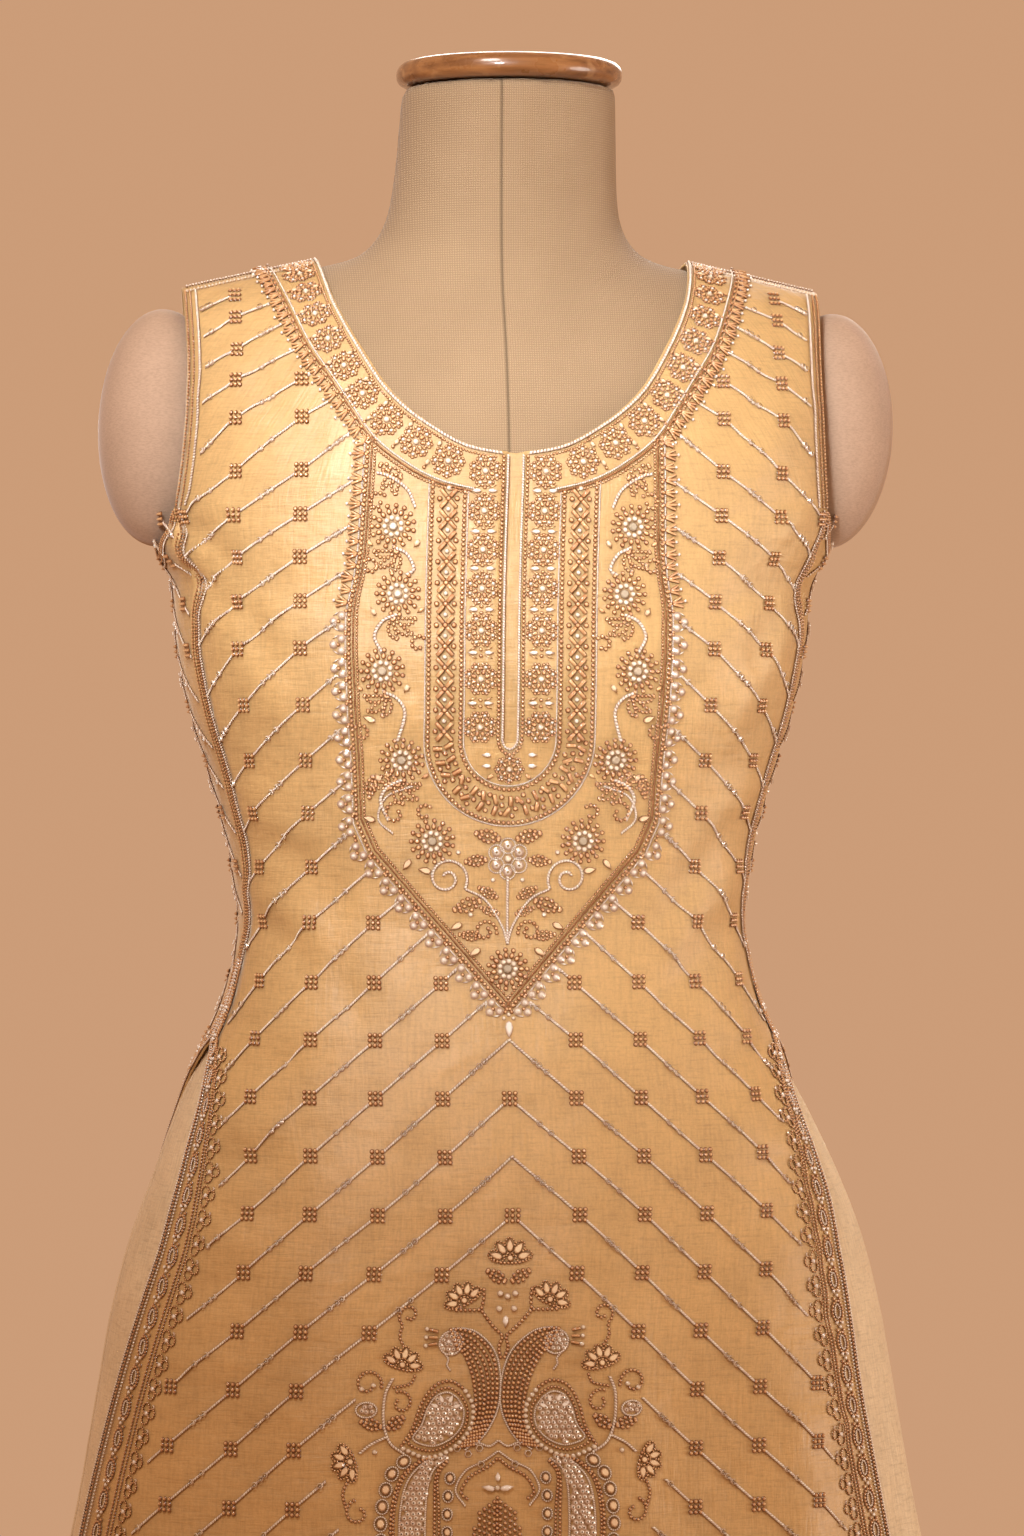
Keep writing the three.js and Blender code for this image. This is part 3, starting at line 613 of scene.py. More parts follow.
def leg_row(z, angles, shares, side, sign):
    """One leg's panel at its heights: along the body to its middle, then in to the inseam."""
    gap = np.where(angles == 90, seam_angle(z), 0)
    degrees = angles - gap if side < 0 else 180 - angles + gap
    outer = on_oval(SHARARA, z, degrees)
    turn = degrees if sign > 0 else 360 - degrees
    inset = -flute(z, degrees) - side_swell(z, degrees) - fold_height(z, turn)
    outer[..., 0] *= 1 - inset / read(SHARARA, "z", z, "half")
    outer[..., 1] *= 1 - inset / read(SHARARA, "z", z, "front" if side < 0 else "back")
    outer[..., 0] = np.maximum(outer[..., 0], leg_inner(z))
    depth = np.abs(outer[:, -1:, 1])
    inner = stacked(leg_inner(z), side * np.maximum(shares * depth, SEAM / 2), z)
    return np.concatenate([outer, inner], 1)


LEG_ROWS = heights(SHARARA_HEM, WAISTBAND_BOTTOM - SEAM, 17.0, CROTCH_JOIN_Z)
LEG_ANGLES = np.concatenate([np.linspace(90, 12, 66), [9, 6, 3, 0]])
LEG_SHARES = np.array([0.93, 0.86, 0.75, 0.6, 0.4, 0.2, 0.0])  # from the middle in to the inseam


def leg_panel(name, side, sign, material):
    rows, angles, shares = LEG_ROWS, LEG_ANGLES[None, :], LEG_SHARES[None, :]
    body = len(LEG_ANGLES) - 1
    join = int(np.searchsorted(rows, CROTCH_JOIN_Z))
    grid = leg_row(rows[:, None], angles, shares, side, sign)
    for j, share in enumerate(LEG_SHARES, body + 1):
        top = CROTCH_Z + (CROTCH_JOIN_Z - CROTCH_Z) * share**CROTCH_BEND
        up = (rows - SHARARA_HEM) / (CROTCH_JOIN_Z - SHARARA_HEM)
        squeezed = SHARARA_HEM + np.minimum(up, 1) * (top - SHARARA_HEM)
        column = leg_row(squeezed[:, None], angles, shares, side, sign)[:, j]
        grid[:join + 1, j] = column[:join + 1]
    grid[..., 0] *= sign
    keep = np.ones((len(rows) - 1, grid.shape[1] - 1), bool)
    keep[join:, body:] = False
    if side * sign < 0:
        grid = grid[:, ::-1]
        keep = keep[:, ::-1]
    normals = grid_normals(grid)
    grid = lean(grid)
    return wall(name, grid, normals, SHELL, material, keep), surface_area(grid, keep)


def waist_casing(material):
    """The gathered casing, with fine puckers round it."""
    angles = np.linspace(0, 360, 241)
    z = WAISTBAND_BOTTOM + np.array([0, 1.2, 4, 9, 15, 21, 26, 28.8, WAISTBAND_TALL])
    grid = on_oval(SHARARA, z[:, None], angles[None, :])
    pucker = 0.5 * np.sin(np.radians(angles) * 96) + 0.3 * np.sin(np.radians(angles) * 61 + 1)
    body = np.sin(np.pi * (z - WAISTBAND_BOTTOM) / WAISTBAND_TALL)
    normals = grid_normals(grid)
    grid = lean(grid + normals * (body[:, None] * (pucker[None, :] - 0.8) * 0.5)[..., None])
    return wall("waist_casing", grid, normals, WAISTBAND_THICK, material)


# ---- The dress form and its stand ----------------------------------------------------------------

FORM_BOTTOM = 800.0
PLATE_SHARE = 0.82
ARM_PAD = dict(x=188.0, z=1291.0, out=35.0, depth=42.0, tall=66.0)
CAP_BOTTOM, CAP_TOP, CAP_RADIUS, CAP_MIDDLE = 1481.3, 1496.0, 63.0, -12.0
VOXEL = 0.0056
TORSO_STEPS, NECK_STEPS, ROUND_STEPS = 80, 72, 96  # points of a ring
BLEND_Z, BLEND_REACH = 1.372, 0.04  # in metres, where the neck runs into the shoulders


def form_inset(z):
    return read(FORM_INSET, "z", z, "inset")


def torso_rings():
    """Rings of the form, lowest first, with flat plates where the arms would be."""
    across = -1 + (2 * np.arange(TORSO_STEPS) + 1) / TORSO_STEPS
    rings = []
    for z in np.linspace(FORM_BOTTOM, 1225, 60):
        wide = min(float(read(KURTA, "z", z, "half") - form_inset(z)), ARM_PLATE_X)
        for side in (-1, 1):
            angle = across * np.pi / 2
            depth = read(KURTA, "z", z, "front" if side < 0 else "back") - form_inset(z)
            y = side * depth * bow(np.cos(angle))
            arch = stacked(wide * bow(np.sin(angle)), y, z)
            rings.append(arch if side < 0 else arch[::-1])
    for roll in np.concatenate([np.linspace(0, 0.9, 24), [0.93, 0.96, 0.985]]):
        for side in (-1, 1):
            flat = np.clip(np.abs(across) - PLATE_SHARE, 0, None) / (1 - PLATE_SHARE)
            turn = np.minimum(np.abs(across) / PLATE_SHARE, 1)
            x = np.sign(across) * ARM_PLATE_X * bow(np.sin(turn * np.pi / 2))
            guess = on_shoulder(x, roll, side)
            arch = on_shoulder(x, roll, side, form_inset(guess[..., 2]))
            arch[..., 1] *= 1 - flat
            rings.append(arch if side < 0 else arch[::-1])
    return [np.concatenate(pair) for pair in zip(rings[::2], rings[1::2])]


def neck_rings():
    angle = np.radians(-90 + 360 * (np.arange(NECK_STEPS) + 0.5) / NECK_STEPS)
    ahead = np.cos(angle)
    rings = []
    for z in np.concatenate([np.linspace(1330, 1445, 30), [1463, 1481.0]]):
        columns = ("half", "depth", "drop", "middle")
        half, depth, drop, middle = (float(read(NECK, "z", z, column)) for column in columns)
        fall = drop * np.clip(ahead, 0, None)
        rings.append(stacked(half * np.sin(angle), middle - depth * ahead, z - fall))
    return rings


def ring_solid(name, rings, material):
    """A closed solid from rings of points, with flat ends."""
    count = len(rings[0])
    rows = np.arange(len(rings) - 1)[:, None] * count
    near = np.arange(count)[None, :]
    after = (near + 1) % count
    quads = np.stack([rows + near, rows + after, rows + count + after, rows + count + near], -1)
    last = (len(rings) - 1) * count
    ends = [np.arange(count)[::-1][None, :], (last + np.arange(count))[None, :]]
    return new_object(name, np.concatenate(rings), [quads.reshape(-1, 4), *ends], material)


def apply_modifiers(piece):
    graph = bpy.context.evaluated_depsgraph_get()
    made = bpy.data.meshes.new_from_object(piece.evaluated_get(graph))
    piece.modifiers.clear()
    piece.data = made
    made.polygons.foreach_set("use_smooth", [True] * len(made.polygons))


def form_torso(material):
    """The torso and the neck as one skin, blended where they meet."""
    torso = [lean(points) for points in torso_rings()]
    neck = [lean(points) for points in neck_rings()]
    piece = ring_solid("form_body", torso, material)
    other = ring_solid("form_neck", neck, material)
    with bpy.context.temp_override(active_object=piece, selected_editable_objects=[piece, other]):
        bpy.ops.object.join()
    remesh = piece.modifiers.new("skin", "REMESH")
    remesh.mode = "VOXEL"
    remesh.voxel_size = VOXEL
    apply_modifiers(piece)
    group = piece.vertex_groups.new(name="blend")
    for vertex in piece.data.vertices:
        near = np.exp(-(((vertex.co.z - BLEND_Z) / BLEND_REACH) ** 2))
        group.add([vertex.index], float(0.12 + 0.88 * near), "REPLACE")
    smooth = piece.modifiers.new("blend", "SMOOTH")
    smooth.iterations = 16
    smooth.vertex_group = "blend"
    apply_modifiers(piece)
    return piece


def arm_pad(name, sign, material):
    """A padded cap with a flat back, against the torso's plate."""
    start = math.acos((ARM_PLATE_X + SEAM - ARM_PAD["x"]) / ARM_PAD["out"])
    turn = np.radians(360 * (np.arange(ROUND_STEPS) + 0.5) / ROUND_STEPS) * sign
    rings = []
    for step in np.linspace(0, 1, 40):
        angle = start * (1 - step) + math.radians(2) * step
        size = math.sin(angle)
        x = sign * (ARM_PAD["x"] + ARM_PAD["out"] * math.cos(angle))
        y = ARM_PAD["depth"] * size * np.sin(turn)
        z = ARM_PAD["z"] - ARM_PAD["tall"] * size * np.cos(turn)
        rings.append(lean(stacked(x, y, z)))
    return ring_solid(name, rings, material)


def neck_cap(material):
    """The turned cap: a rounded rim, a shallow groove and a slightly domed top."""
    low, high, wide = CAP_BOTTOM, CAP_TOP, CAP_RADIUS
    profile = [
        (wide - 9, low), (wide - 4, low + 0.3), (wide - 1.6, low + 1.6), (wide - 0.3, low + 3.6),
        (wide, low + 6), (wide - 0.2, low + 8.4), (wide - 1.2, low + 10.6), (wide - 3, low + 12.2),
        (wide - 5.5, low + 13.2), (wide - 7, low + 13.1), (wide - 8.2, low + 12.7),
        (wide - 9.6, low + 13.2), (wide - 16, low + 14), (20, high - 0.1), (0.5, high),
    ]
    turn = np.radians(360 * np.arange(ROUND_STEPS) / ROUND_STEPS)
    rings = []
    for radius, height in profile:
        x, y = radius * np.cos(turn), CAP_MIDDLE + radius * np.sin(turn)
        rings.append(lean(stacked(x, y, float(height))))
    return ring_solid("neck_cap", rings, material)


# ---- Materials -----------------------------------------------------------------------------------


class Look:
    """A material under construction, around one Principled shader."""

    def __init__(self, name, **sockets):
        self.material = bpy.data.materials.new(name)
        self.material.use_nodes = True
        self.tree = self.material.node_tree
        self.shader = self.tree.nodes["Principled BSDF"]
        for key, value in sockets.items():
            self.shader.inputs[key.replace("_", " ")].default_value = value

    def node(self, kind, **settings):
        made = self.tree.nodes.new(kind)
        for key, value in settings.items():
            if hasattr(made, key):
                setattr(made, key, value)
            else:
                made.inputs[key.replace("_", " ")].default_value = value
        return made

    def link(self, start, end):
        self.tree.links.new(start, end)

    def feed(self, socket, value):
        """Sets a socket to a plain value, or links an output to it."""
        if isinstance(value, (int, float, tuple)):
            socket.default_value = value
        else:
            self.link(value, socket)

    def scaled(self, place, scale):
        mapping = self.node("ShaderNodeMapping", Scale=scale)
        self.link(place, mapping.inputs["Vector"])
        return mapping.outputs["Vector"]

    def cloth_place(self, *scale):
        """The cloth's own coordinates, in units of 1/scale metres."""
        return self.scaled(self.node("ShaderNodeUVMap", uv_map="cloth").outputs["UV"], scale)

    def object_place(self, *scale):
        return self.scaled(self.node("ShaderNodeTexCoord").outputs["Object"], scale)

    def noise(self, place, scale, detail, roughness=0.55):
        made = self.node("ShaderNodeTexNoise", Scale=scale, Detail=detail, Roughness=roughness)
        self.link(place, made.inputs["Vector"])
        return made.outputs["Fac"]

    def wave(self, place, axis, scale, wobble):
        settings = dict(bands_direction=axis, Scale=scale, Distortion=wobble, Detail=1.0)
        made = self.node("ShaderNodeTexWave", **settings)
        self.link(place, made.inputs["Vector"])
        return made.outputs["Fac"]

    def math(self, kind, first, second):
        made = self.node("ShaderNodeMath", operation=kind)
        self.feed(made.inputs[0], first)
        self.feed(made.inputs[1], second)
        return made.outputs[0]

    def ramp(self, factor, *stops):
        """Colours, or greys, along a factor: (place, colour) pairs."""
        made = self.node("ShaderNodeValToRGB")
        points = made.color_ramp.elements
        while len(points) < len(stops):
            points.new(0.5)
        for point, (place, colour) in zip(points, stops):
            point.position = place
            point.color = (*(colour if isinstance(colour, tuple) else (colour,) * 3), 1)
        self.link(factor, made.inputs["Fac"])
        return made.outputs["Color"]

    def mix(self, factor, first, second, blend="MIX"):
        made = self.node("ShaderNodeMix", data_type="RGBA", blend_type=blend)
        for socket, value in ((0, factor), (6, first), (7, second)):  # the colour mode's sockets
            self.feed(made.inputs[socket], value)
        return made.outputs[2]

    def bump(self, height, distance, strength, below=None):
        made = self.node("ShaderNodeBump", Distance=distance, Strength=strength)
        self.link(height, made.inputs["Height"])
        if below is not None:
            self.link(below, made.inputs["Normal"])
        return made.outputs["Normal"]

    def finish(self, colour=None, roughness=None, normal=None):
        for key, value in (("Base Color", colour), ("Roughness", roughness), ("Normal", normal)):
            if value is not None:
                self.link(value, self.shader.inputs[key])
        return self.material


def tint(colour, share):
    """A lighter or darker shade of a colour."""
    return tuple(min(max(c * share, 0), 1) for c in colour)


def silk_look(name, colour, slub, sheen):
    """Raw silk: fine threads both ways, uneven thicker threads across, a soft satin gloss."""
    look = Look(
        name, Sheen_Weight=sheen, Sheen_Roughness=0.35, Sheen_Tint=(1.0, 0.90, 0.74, 1),
        Specular_IOR_Level=0.6,
    )
    cloth = look.cloth_place(1, 1, 1)
    mottle = look.noise(cloth, 24, 5, 0.6)
    streaks = look.noise(look.cloth_place(60, 620, 1), 1.0, 3, 0.7)
    weft = look.noise(look.cloth_place(520, 70, 1), 1.0, 2, 0.6)
    grain = look.noise(cloth, 620, 2, 0.7)
    soft = look.noise(look.cloth_place(20, 30, 1), 1.0, 3, 0.5)
    base = look.ramp(mottle, (0.28, tint(colour, 0.90)), (0.72, tint(colour, 1.08)))
    thick = look.ramp(streaks, (0.28, 1 - slub), (0.52, 1.0), (0.74, 1 - slub * 0.4))
    cross = look.ramp(weft, (0.3, 1 - slub * 0.7), (0.6, 1.0))
    fine = look.ramp(grain, (0.3, 0.90), (0.6, 1.0))
    toned = look.mix(1.0, look.mix(1.0, base, thick, "MULTIPLY"), cross, "MULTIPLY")
    toned = look.mix(1.0, toned, fine, "MULTIPLY")
    gloss = look.ramp(mottle, (0.3, 0.56), (0.7, 0.38))
    rumpled = look.bump(soft, 0.010, 0.4)
    threads = look.bump(look.math("ADD", streaks, weft), 0.0006, 0.6, rumpled)
    return look.finish(toned, gloss, threads)


CANVAS_SEAM = 0.004  # how far left of the middle the neck's seam runs, in metres


def canvas_look():
    """Tan canvas with a coarse dotted weave and a seam down the middle."""
    look = Look("form_canvas", Sheen_Weight=0.12, Sheen_Roughness=0.5, Specular_IOR_Level=0.2)
    place = look.object_place(1, 1, 1)
    warp = look.wave(place, "X", 245, 1.4)
    weft = look.wave(place, "Z", 245, 1.4)
    dots = look.math("MULTIPLY", warp, weft)
    soil = look.noise(place, 14, 4)
    base = look.ramp(soil, (0.3, (0.41, 0.29, 0.175)), (0.72, (0.47, 0.335, 0.205)))
    worn = look.mix(1.0, base, look.ramp(dots, (0.05, 0.70), (0.45, 1.0)), "MULTIPLY")
    parts = look.node("ShaderNodeSeparateXYZ")
    look.link(place, parts.inputs[0])
    off = look.math("ABSOLUTE", look.math("ADD", parts.outputs["X"], CANVAS_SEAM), 0.0)
    seam = look.ramp(look.math("MULTIPLY", off, 400.0), (0.15, 0.55), (0.5, 1.0))
    worn = look.mix(1.0, worn, seam, "MULTIPLY")
    weave = look.bump(dots, 0.0005, 0.6, look.bump(seam, 0.0008, 0.8))
    return look.finish(worn, look.ramp(soil, (0.2, 0.8), (0.8, 0.92)), weave)


def jersey_look():
    """Pinkish knit, stretched smooth."""
    look = Look("form_jersey", Sheen_Weight=0.35, Sheen_Roughness=0.4, Specular_IOR_Level=0.25)
    place = look.object_place(1, 1, 1)
    knit = look.noise(look.object_place(500, 500, 1400), 1.0, 2, 0.6)
    mottle = look.noise(place, 22, 4)
    base = look.ramp(mottle, (0.3, (0.45, 0.315, 0.225)), (0.72, (0.51, 0.36, 0.26)))
    toned = look.mix(1.0, base, look.ramp(knit, (0.3, 0.84), (0.6, 1.0)), "MULTIPLY")
    return look.finish(toned, look.ramp(mottle, (0.2, 0.78), (0.8, 0.9)), look.bump(knit, 0.0003, 0.5))


def wood_look():
    """Glossy brown varnish with darker, uneven streaks and worn lighter spots."""
    look = Look("polished_wood", Coat_Weight=0.7, Coat_Roughness=0.08)
    place = look.object_place(1, 1, 1)
    grain = look.noise(look.object_place(18, 90, 260), 1.0, 4, 0.6)
    spots = look.noise(place, 60, 3)
    base = look.ramp(grain, (0.3, (0.13, 0.045, 0.012)), (0.7, (0.36, 0.16, 0.055)))
    worn = look.mix(look.ramp(spots, (0.6, 0.0), (0.72, 0.5)), base, (0.62, 0.36, 0.17, 1))
    return look.finish(worn, look.ramp(spots, (0.3, 0.2), (0.7, 0.42)), look.bump(spots, 0.0006, 0.4))


def steel_look():
    look = Look("stand_steel", Metallic=1.0)
    brushed = look.noise(look.object_place(500, 500, 6), 1.0, 3)
    base = look.ramp(brushed, (0.3, (0.42, 0.41, 0.39)), (0.7, (0.56, 0.55, 0.52)))
    return look.finish(base, look.ramp(brushed, (0.3, 0.28), (0.7, 0.42)), look.bump(brushed, 0.0002, 0.3))


BEAD_LOOKS = {  # colour, how far it varies, how deep its painted shade gets by the cloth, roughness, coat, metal
    "copper_bead": ((0.98, 0.58, 0.31), 0.2, 0.06, 0.18, 0.8, 0.0),
    "pearl": ((1.0, 0.93, 0.80), 0.05, 0.3, 0.2, 0.7, 0.0),
    "crystal": ((1.0, 0.97, 0.93), 0.03, 0.45, 0.1, 1.0, 0.0),
    "sequin": ((0.98, 0.91, 0.84), 0.1, 0.5, 0.16, 0.8, 0.2),
    "dull_stone": ((0.52, 0.45, 0.34), 0.15, 0.5, 0.25, 0.0, 0.0),
    "silver_thread": ((0.97, 0.88, 0.81), 0.12, 0.2, 0.3, 0.0, 0.0),
    "pink_thread": ((0.97, 0.86, 0.79), 0.16, 0.22, 0.4, 0.0, 0.0),
    "dark_cord": ((0.46, 0.23, 0.10), 0.2, 0.4, 0.4, 0.0, 0.3),
    "champagne": ((0.98, 0.76, 0.52), 0.1, 0.12, 0.12, 0.8, 0.0),
}


def bead_look(name, colour, spread, shade, roughness, coat, metal):
    """Small sewn pieces with painted shade towards the cloth and a painted highlight on top, whose colour
    differs a little from one to the next.
    """
    look = Look(name, Roughness=roughness, Coat_Weight=coat, Metallic=metal)
    tone = look.node("ShaderNodeAttribute", attribute_name="tone").outputs["Fac"]
    rise = look.node("ShaderNodeAttribute", attribute_name="rise").outputs["Fac"]
    colours = look.ramp(tone, (0.0, tint(colour, 1 - spread)), (1.0, tint(colour, 1 + spread)))
    # Painted light on each piece: the rise ramp paints shade where it meets the cloth, a lighter middle,
    # and its full colour at the top as a painted highlight; shade sets how deep the painted shade goes.
    painted_shade_colour = tuple(shade**power for power in (0.85, 1.25, 1.6))
    middle = tuple(share**0.30 for share in painted_shade_colour)
    painted_shade_and_highlight = look.ramp(rise, (0.46, painted_shade_colour), (0.67, middle), (0.92, 1.0))
    return look.finish(look.mix(1.0, colours, painted_shade_and_highlight, "MULTIPLY"))


# ---- Light, camera and floor ---------------------------------------------------------------------

CAMERA_AZIMUTH = -5.4
CAMERA_DISTANCE = 3.33
CAMERA_TARGET = (0.008, 0.0, 1.1016)
CAMERA_SENSOR, CAMERA_LENS = 36, 139.4
BACKDROP = (0.60, 0.335, 0.19, 1)
FLOOR_RADIUS = 4800.0
LIGHTS = (  # name, place, aim, size, watts, colour, spread in degrees
    ("key", (-0.45, -1.0, 2.1), (0, -0.1, 1.24), 0.4, 1.5, (1.0, 0.98, 0.94), 72),
    ("chest", (-0.5, -1.9, 1.7), (0, -0.1, 1.27), 0.35, 0.78, (0.96, 1.0, 1.03), 24),
    ("fill", (2.4, -0.75, 0.8), (0.2, 0, 0.8), 1.2, 22, (1.0, 0.95, 0.88), 180),
    ("back", (0.6, 2.4, 2.6), (0, 0, 1.1), 1.6, 30, (1.0, 0.95, 0.88), 180),
)


def camera():
    data = bpy.data.cameras.new("camera")
    data.sensor_fit = "VERTICAL"
    data.sensor_height = CAMERA_SENSOR
    data.lens = CAMERA_LENS
    eye = bpy.data.objects.new("camera", data)
    turn = math.radians(CAMERA_AZIMUTH)
    x, y, z = CAMERA_TARGET
    eye.location = (x + CAMERA_DISTANCE * math.sin(turn), y - CAMERA_DISTANCE * math.cos(turn), z)
    eye.rotation_euler = (math.pi / 2, 0, turn)
    bpy.context.scene.collection.objects.link(eye)
    bpy.context.scene.camera = eye


def soft_light(name, place, aim, size, watts, colour, spread):
    data = bpy.data.lights.new(name, "AREA")
    data.shape = "DISK"
    data.spread = math.radians(spread)
    data.size = size
    data.energy = watts
    data.color = colour
    lamp = bpy.data.objects.new(name, data)
    lamp.location = place
    lamp.rotation_euler = (Vector(aim) - Vector(place)).to_track_quat("-Z", "Y").to_euler()
    bpy.context.scene.collection.objects.link(lamp)


def studio():
    world = bpy.data.worlds.new("studio")
    world.use_nodes = True
    sky = world.node_tree.nodes["Background"]
    sky.inputs["Color"].default_value = BACKDROP
    sky.inputs["Strength"].default_value = 1.0
    bpy.context.scene.world = world
    bpy.context.scene.view_settings.view_transform = "Standard"
    for light in LIGHTS:
        soft_light(*light)
    floor_look = Look("pale_floor", Roughness=0.85)
    speckle = floor_look.noise(floor_look.object_place(1, 1, 1), 30, 3)
    colour = floor_look.ramp(speckle, (0.3, (0.60, 0.45, 0.33)), (0.7, (0.64, 0.48, 0.35)))
    floor_look.finish(colour)
    turn = np.radians(np.arange(0, 360, 3))
    rim = stacked(FLOOR_RADIUS * np.cos(turn), FLOOR_RADIUS * np.sin(turn), 0.0)
    new_object("floor", rim, [np.arange(len(turn))[None, :]], floor_look.material, False)


# ---- Needlework: small pieces sewn to a surface --------------------------------------------------


def circle(sides, start=0.0):
    """The cosines and sines of equal steps round a circle, and each step's number and the next's."""
    turn = 2 * np.pi * (np.arange(sides) + start) / sides
    near = np.arange(sides)
    return np.cos(turn), np.sin(turn), near, (near + 1) % sides


def turned(stations, sides):
    """A small body turned round its length, from (place, radius) pairs with a point at each end."""
    inner = stations[1:-1]
    across, up, _, _ = circle(sides, 0.5)
    rings = [stacked(t, r * across, r * up) for t, r in inner]
    points = np.concatenate([[[stations[0][0], 0, 0]], *rings, [[stations[-1][0], 0, 0]]])
    faces = []
    last = len(points) - 1
    for k in range(sides):
        after = (k + 1) % sides
        faces.append((0, 1 + after, 1 + k))
        for i in range(len(inner) - 1):
            a, b = 1 + i * sides + k, 1 + i * sides + after
            faces += [(a, b, b + sides), (a, b + sides, a + sides)]
        top = 1 + (len(inner) - 1) * sides
        faces.append((last, top + k, top + after))
    return points, np.array(faces)


def dome(sides):
    """A round bead's upper half, wide at the cloth."""
    across, up, near, after = circle(sides, 0.5)
    rim = stacked(0.5 * across, 0.5 * up, -0.12)
    return np.concatenate([rim, [[0, 0, 0.5]]]), stacked(near, after, sides)


def cup(hole, sides):
    """A sequin: a thin ring, a little higher at its hole."""
    across, up, near, after = circle(sides)
    rim = stacked(0.5 * across, 0.5 * up, 0.0)
    within = stacked(hole * across, hole * up, 0.5)
    faces = [stacked(near, after, after + sides), stacked(near, after + sides, near + sides)]
    return np.concatenate([rim, within]), np.concatenate(faces)


def cut_stone(sides, point=0.0):
    """A faceted stone with a flat top; point draws one end out."""
    across, up, near, after = circle(sides)
    out = 0.5 * (1 + point * np.clip(across, 0, 1) ** 3)
    base = stacked(out * across, 0.5 * up, -0.3)
    girdle = base + (0, 0, 0.35)
    flat = stacked(0.55 * out * across, 0.28 * up, 0.5)
    faces = []
    for low in (0, sides):
        faces.append(low + stacked(near, after, after + sides))
        faces.append(low + stacked(near, after + sides, near + sides))
    fan = near[1:-1]
    faces.append(2 * sides + stacked(0, fan, fan + 1))
    return np.concatenate([base, girdle, flat]), np.concatenate(faces)


BODIES = {
    "bead": dome(8),
    "seed": turned([(-0.5, 0), (0, 0.5), (0.5, 0)], 5),
    "bugle": turned([(-0.5, 0), (-0.43, 0.46), (0.43, 0.46), (0.5, 0)], 5),
    "drop": turned([(-0.5, 0), (-0.33, 0.38), (0.0, 0.46), (0.5, 0)], 6),
    "sequin": cup(0.13, 8),
    "loop": cup(0.34, 6),
    "stone": cut_stone(8),
    "leaf": cut_stone(8, 0.7),
}
FLAT_BODIES = {"sequin", "stone", "leaf"}
PAINTED_SHADE_SPANS = {"bead": (0.46, 1.0), "bugle": (0.0, 0.84)}  # where a body's painted shade and painted highlight start and end along its height


class Pen:
    """Sews pieces at places (x, z) of a surface, or in true millimetres round one of its points."""

    def __init__(self, surface, box, centre=(0.0, 0.0), matrix=None):
        self.surface, self.box = surface, box
        self.centre = np.array(centre, float)
        self.matrix = np.eye(2) if matrix is None else matrix

    def sew(self, kind, x, z, angle, size):
        length, wide, high = size
        parts = np.broadcast_arrays(*(np.asarray(v, float) for v in (x, z, angle, length, wide, high)))
        x, z, angle, length, wide, high = (part.ravel() for part in parts)
        place = self.centre + stacked(x, z) @ self.matrix.T
        way = unit(stacked(np.cos(angle), np.sin(angle)) @ self.matrix.T)
        rows = np.column_stack([place, way, length, wide, high])
        self.box[kind].append((self.surface, rows))

    def dots(self, kind, x, z, size):
        """Pieces as long as they are wide and high."""
        self.sew(kind, x, z, 0.0, (size, size, size))

    def frame_at(self, place):
        """How the surface's true millimetres turn into its own (x, z) at a place."""
        step = 0.5
        x, z = place
        here = self.surface(np.array([x, x + step, x]), np.array([z, z, z + step]), True)[0]
        across, up = (here[1] - here[0]) / step, (here[2] - here[0]) / step
        first = unit(across)
        second = unit(up - first * np.dot(up, first))
        true = np.array([[across @ first, up @ first], [across @ second, up @ second]])
        return np.linalg.inv(true)

    def at(self, x, z, turn=0.0):
        """A pen that draws in true millimetres round (x, z)."""
        place = self.centre + self.matrix @ (x, z)
        spin = np.array([[math.cos(turn), -math.sin(turn)], [math.sin(turn), math.cos(turn)]])
        hand = np.diag([-1.0 if np.linalg.det(self.matrix) < 0 else 1.0, 1.0])
        return Pen(self.surface, self.box, place, self.frame_at(place) @ hand @ spin)

    def mirrored(self):
        """This pen and its mirror image in x = 0."""
        return self, Pen(self.surface, self.box, self.centre, self.matrix @ np.diag([-1.0, 1.0]))

    def spaced(self, path, pitch):
        """Places at equal true steps along a path, with the path's direction at each."""
        path = np.asarray(path, float)
        fine = np.linspace(0, len(path) - 1, max(3 * len(path), 24))
        order = np.arange(len(path))
        path = stacked(*(np.interp(fine, order, column) for column in path.T))
        place = self.centre + path @ self.matrix.T
        points = self.surface(place[:, 0], place[:, 1], True)[0]
        steps = np.linalg.norm(np.diff(points, axis=0), axis=-1)
        reach = np.concatenate([[0], np.cumsum(steps)])
        count = max(int(round(reach[-1] / pitch)), 1)
        at = (np.arange(count) + 0.5) * reach[-1] / count
        x, z = (np.interp(at, reach, path[:, k]) for k in (0, 1))
        ahead = [np.interp(at + 0.4, reach, path[:, k]) for k in (0, 1)]
        behind = [np.interp(at - 0.4, reach, path[:, k]) for k in (0, 1)]
        return x, z, np.arctan2(ahead[1] - behind[1], ahead[0] - behind[0])

    def line(self, kind, path, pitch, size, turn=0.0):
        x, z, angle = self.spaced(path, pitch)
        self.sew(kind, x, z, angle + turn, size)

    def rope(self, path, wide, kind="silver"):
        """A twisted metal cord: short slanted strands, close together."""
        self.line(kind, path, wide * 0.95, (wide * 1.95, wide, wide), 0.6)

    def beads(self, path, size, kind="copper"):
        self.line(kind, path, size * 1.04, (size, size, size))


def arc(x, z, radius, start, end, tall=None, count=24):
    """Points of an arc, in degrees anticlockwise from +x; tall is the radius along z."""
    turn = np.radians(np.linspace(start, end, count))
    tall = radius if tall is None else tall
    return stacked(x + radius * np.cos(turn), z + tall * np.sin(turn))


def spiral(x, z, outer, inner, start, end, count=40):
    turn = np.radians(np.linspace(start, end, count))
    radius = np.linspace(outer, inner, count)
    return stacked(x + radius * np.cos(turn), z + radius * np.sin(turn))


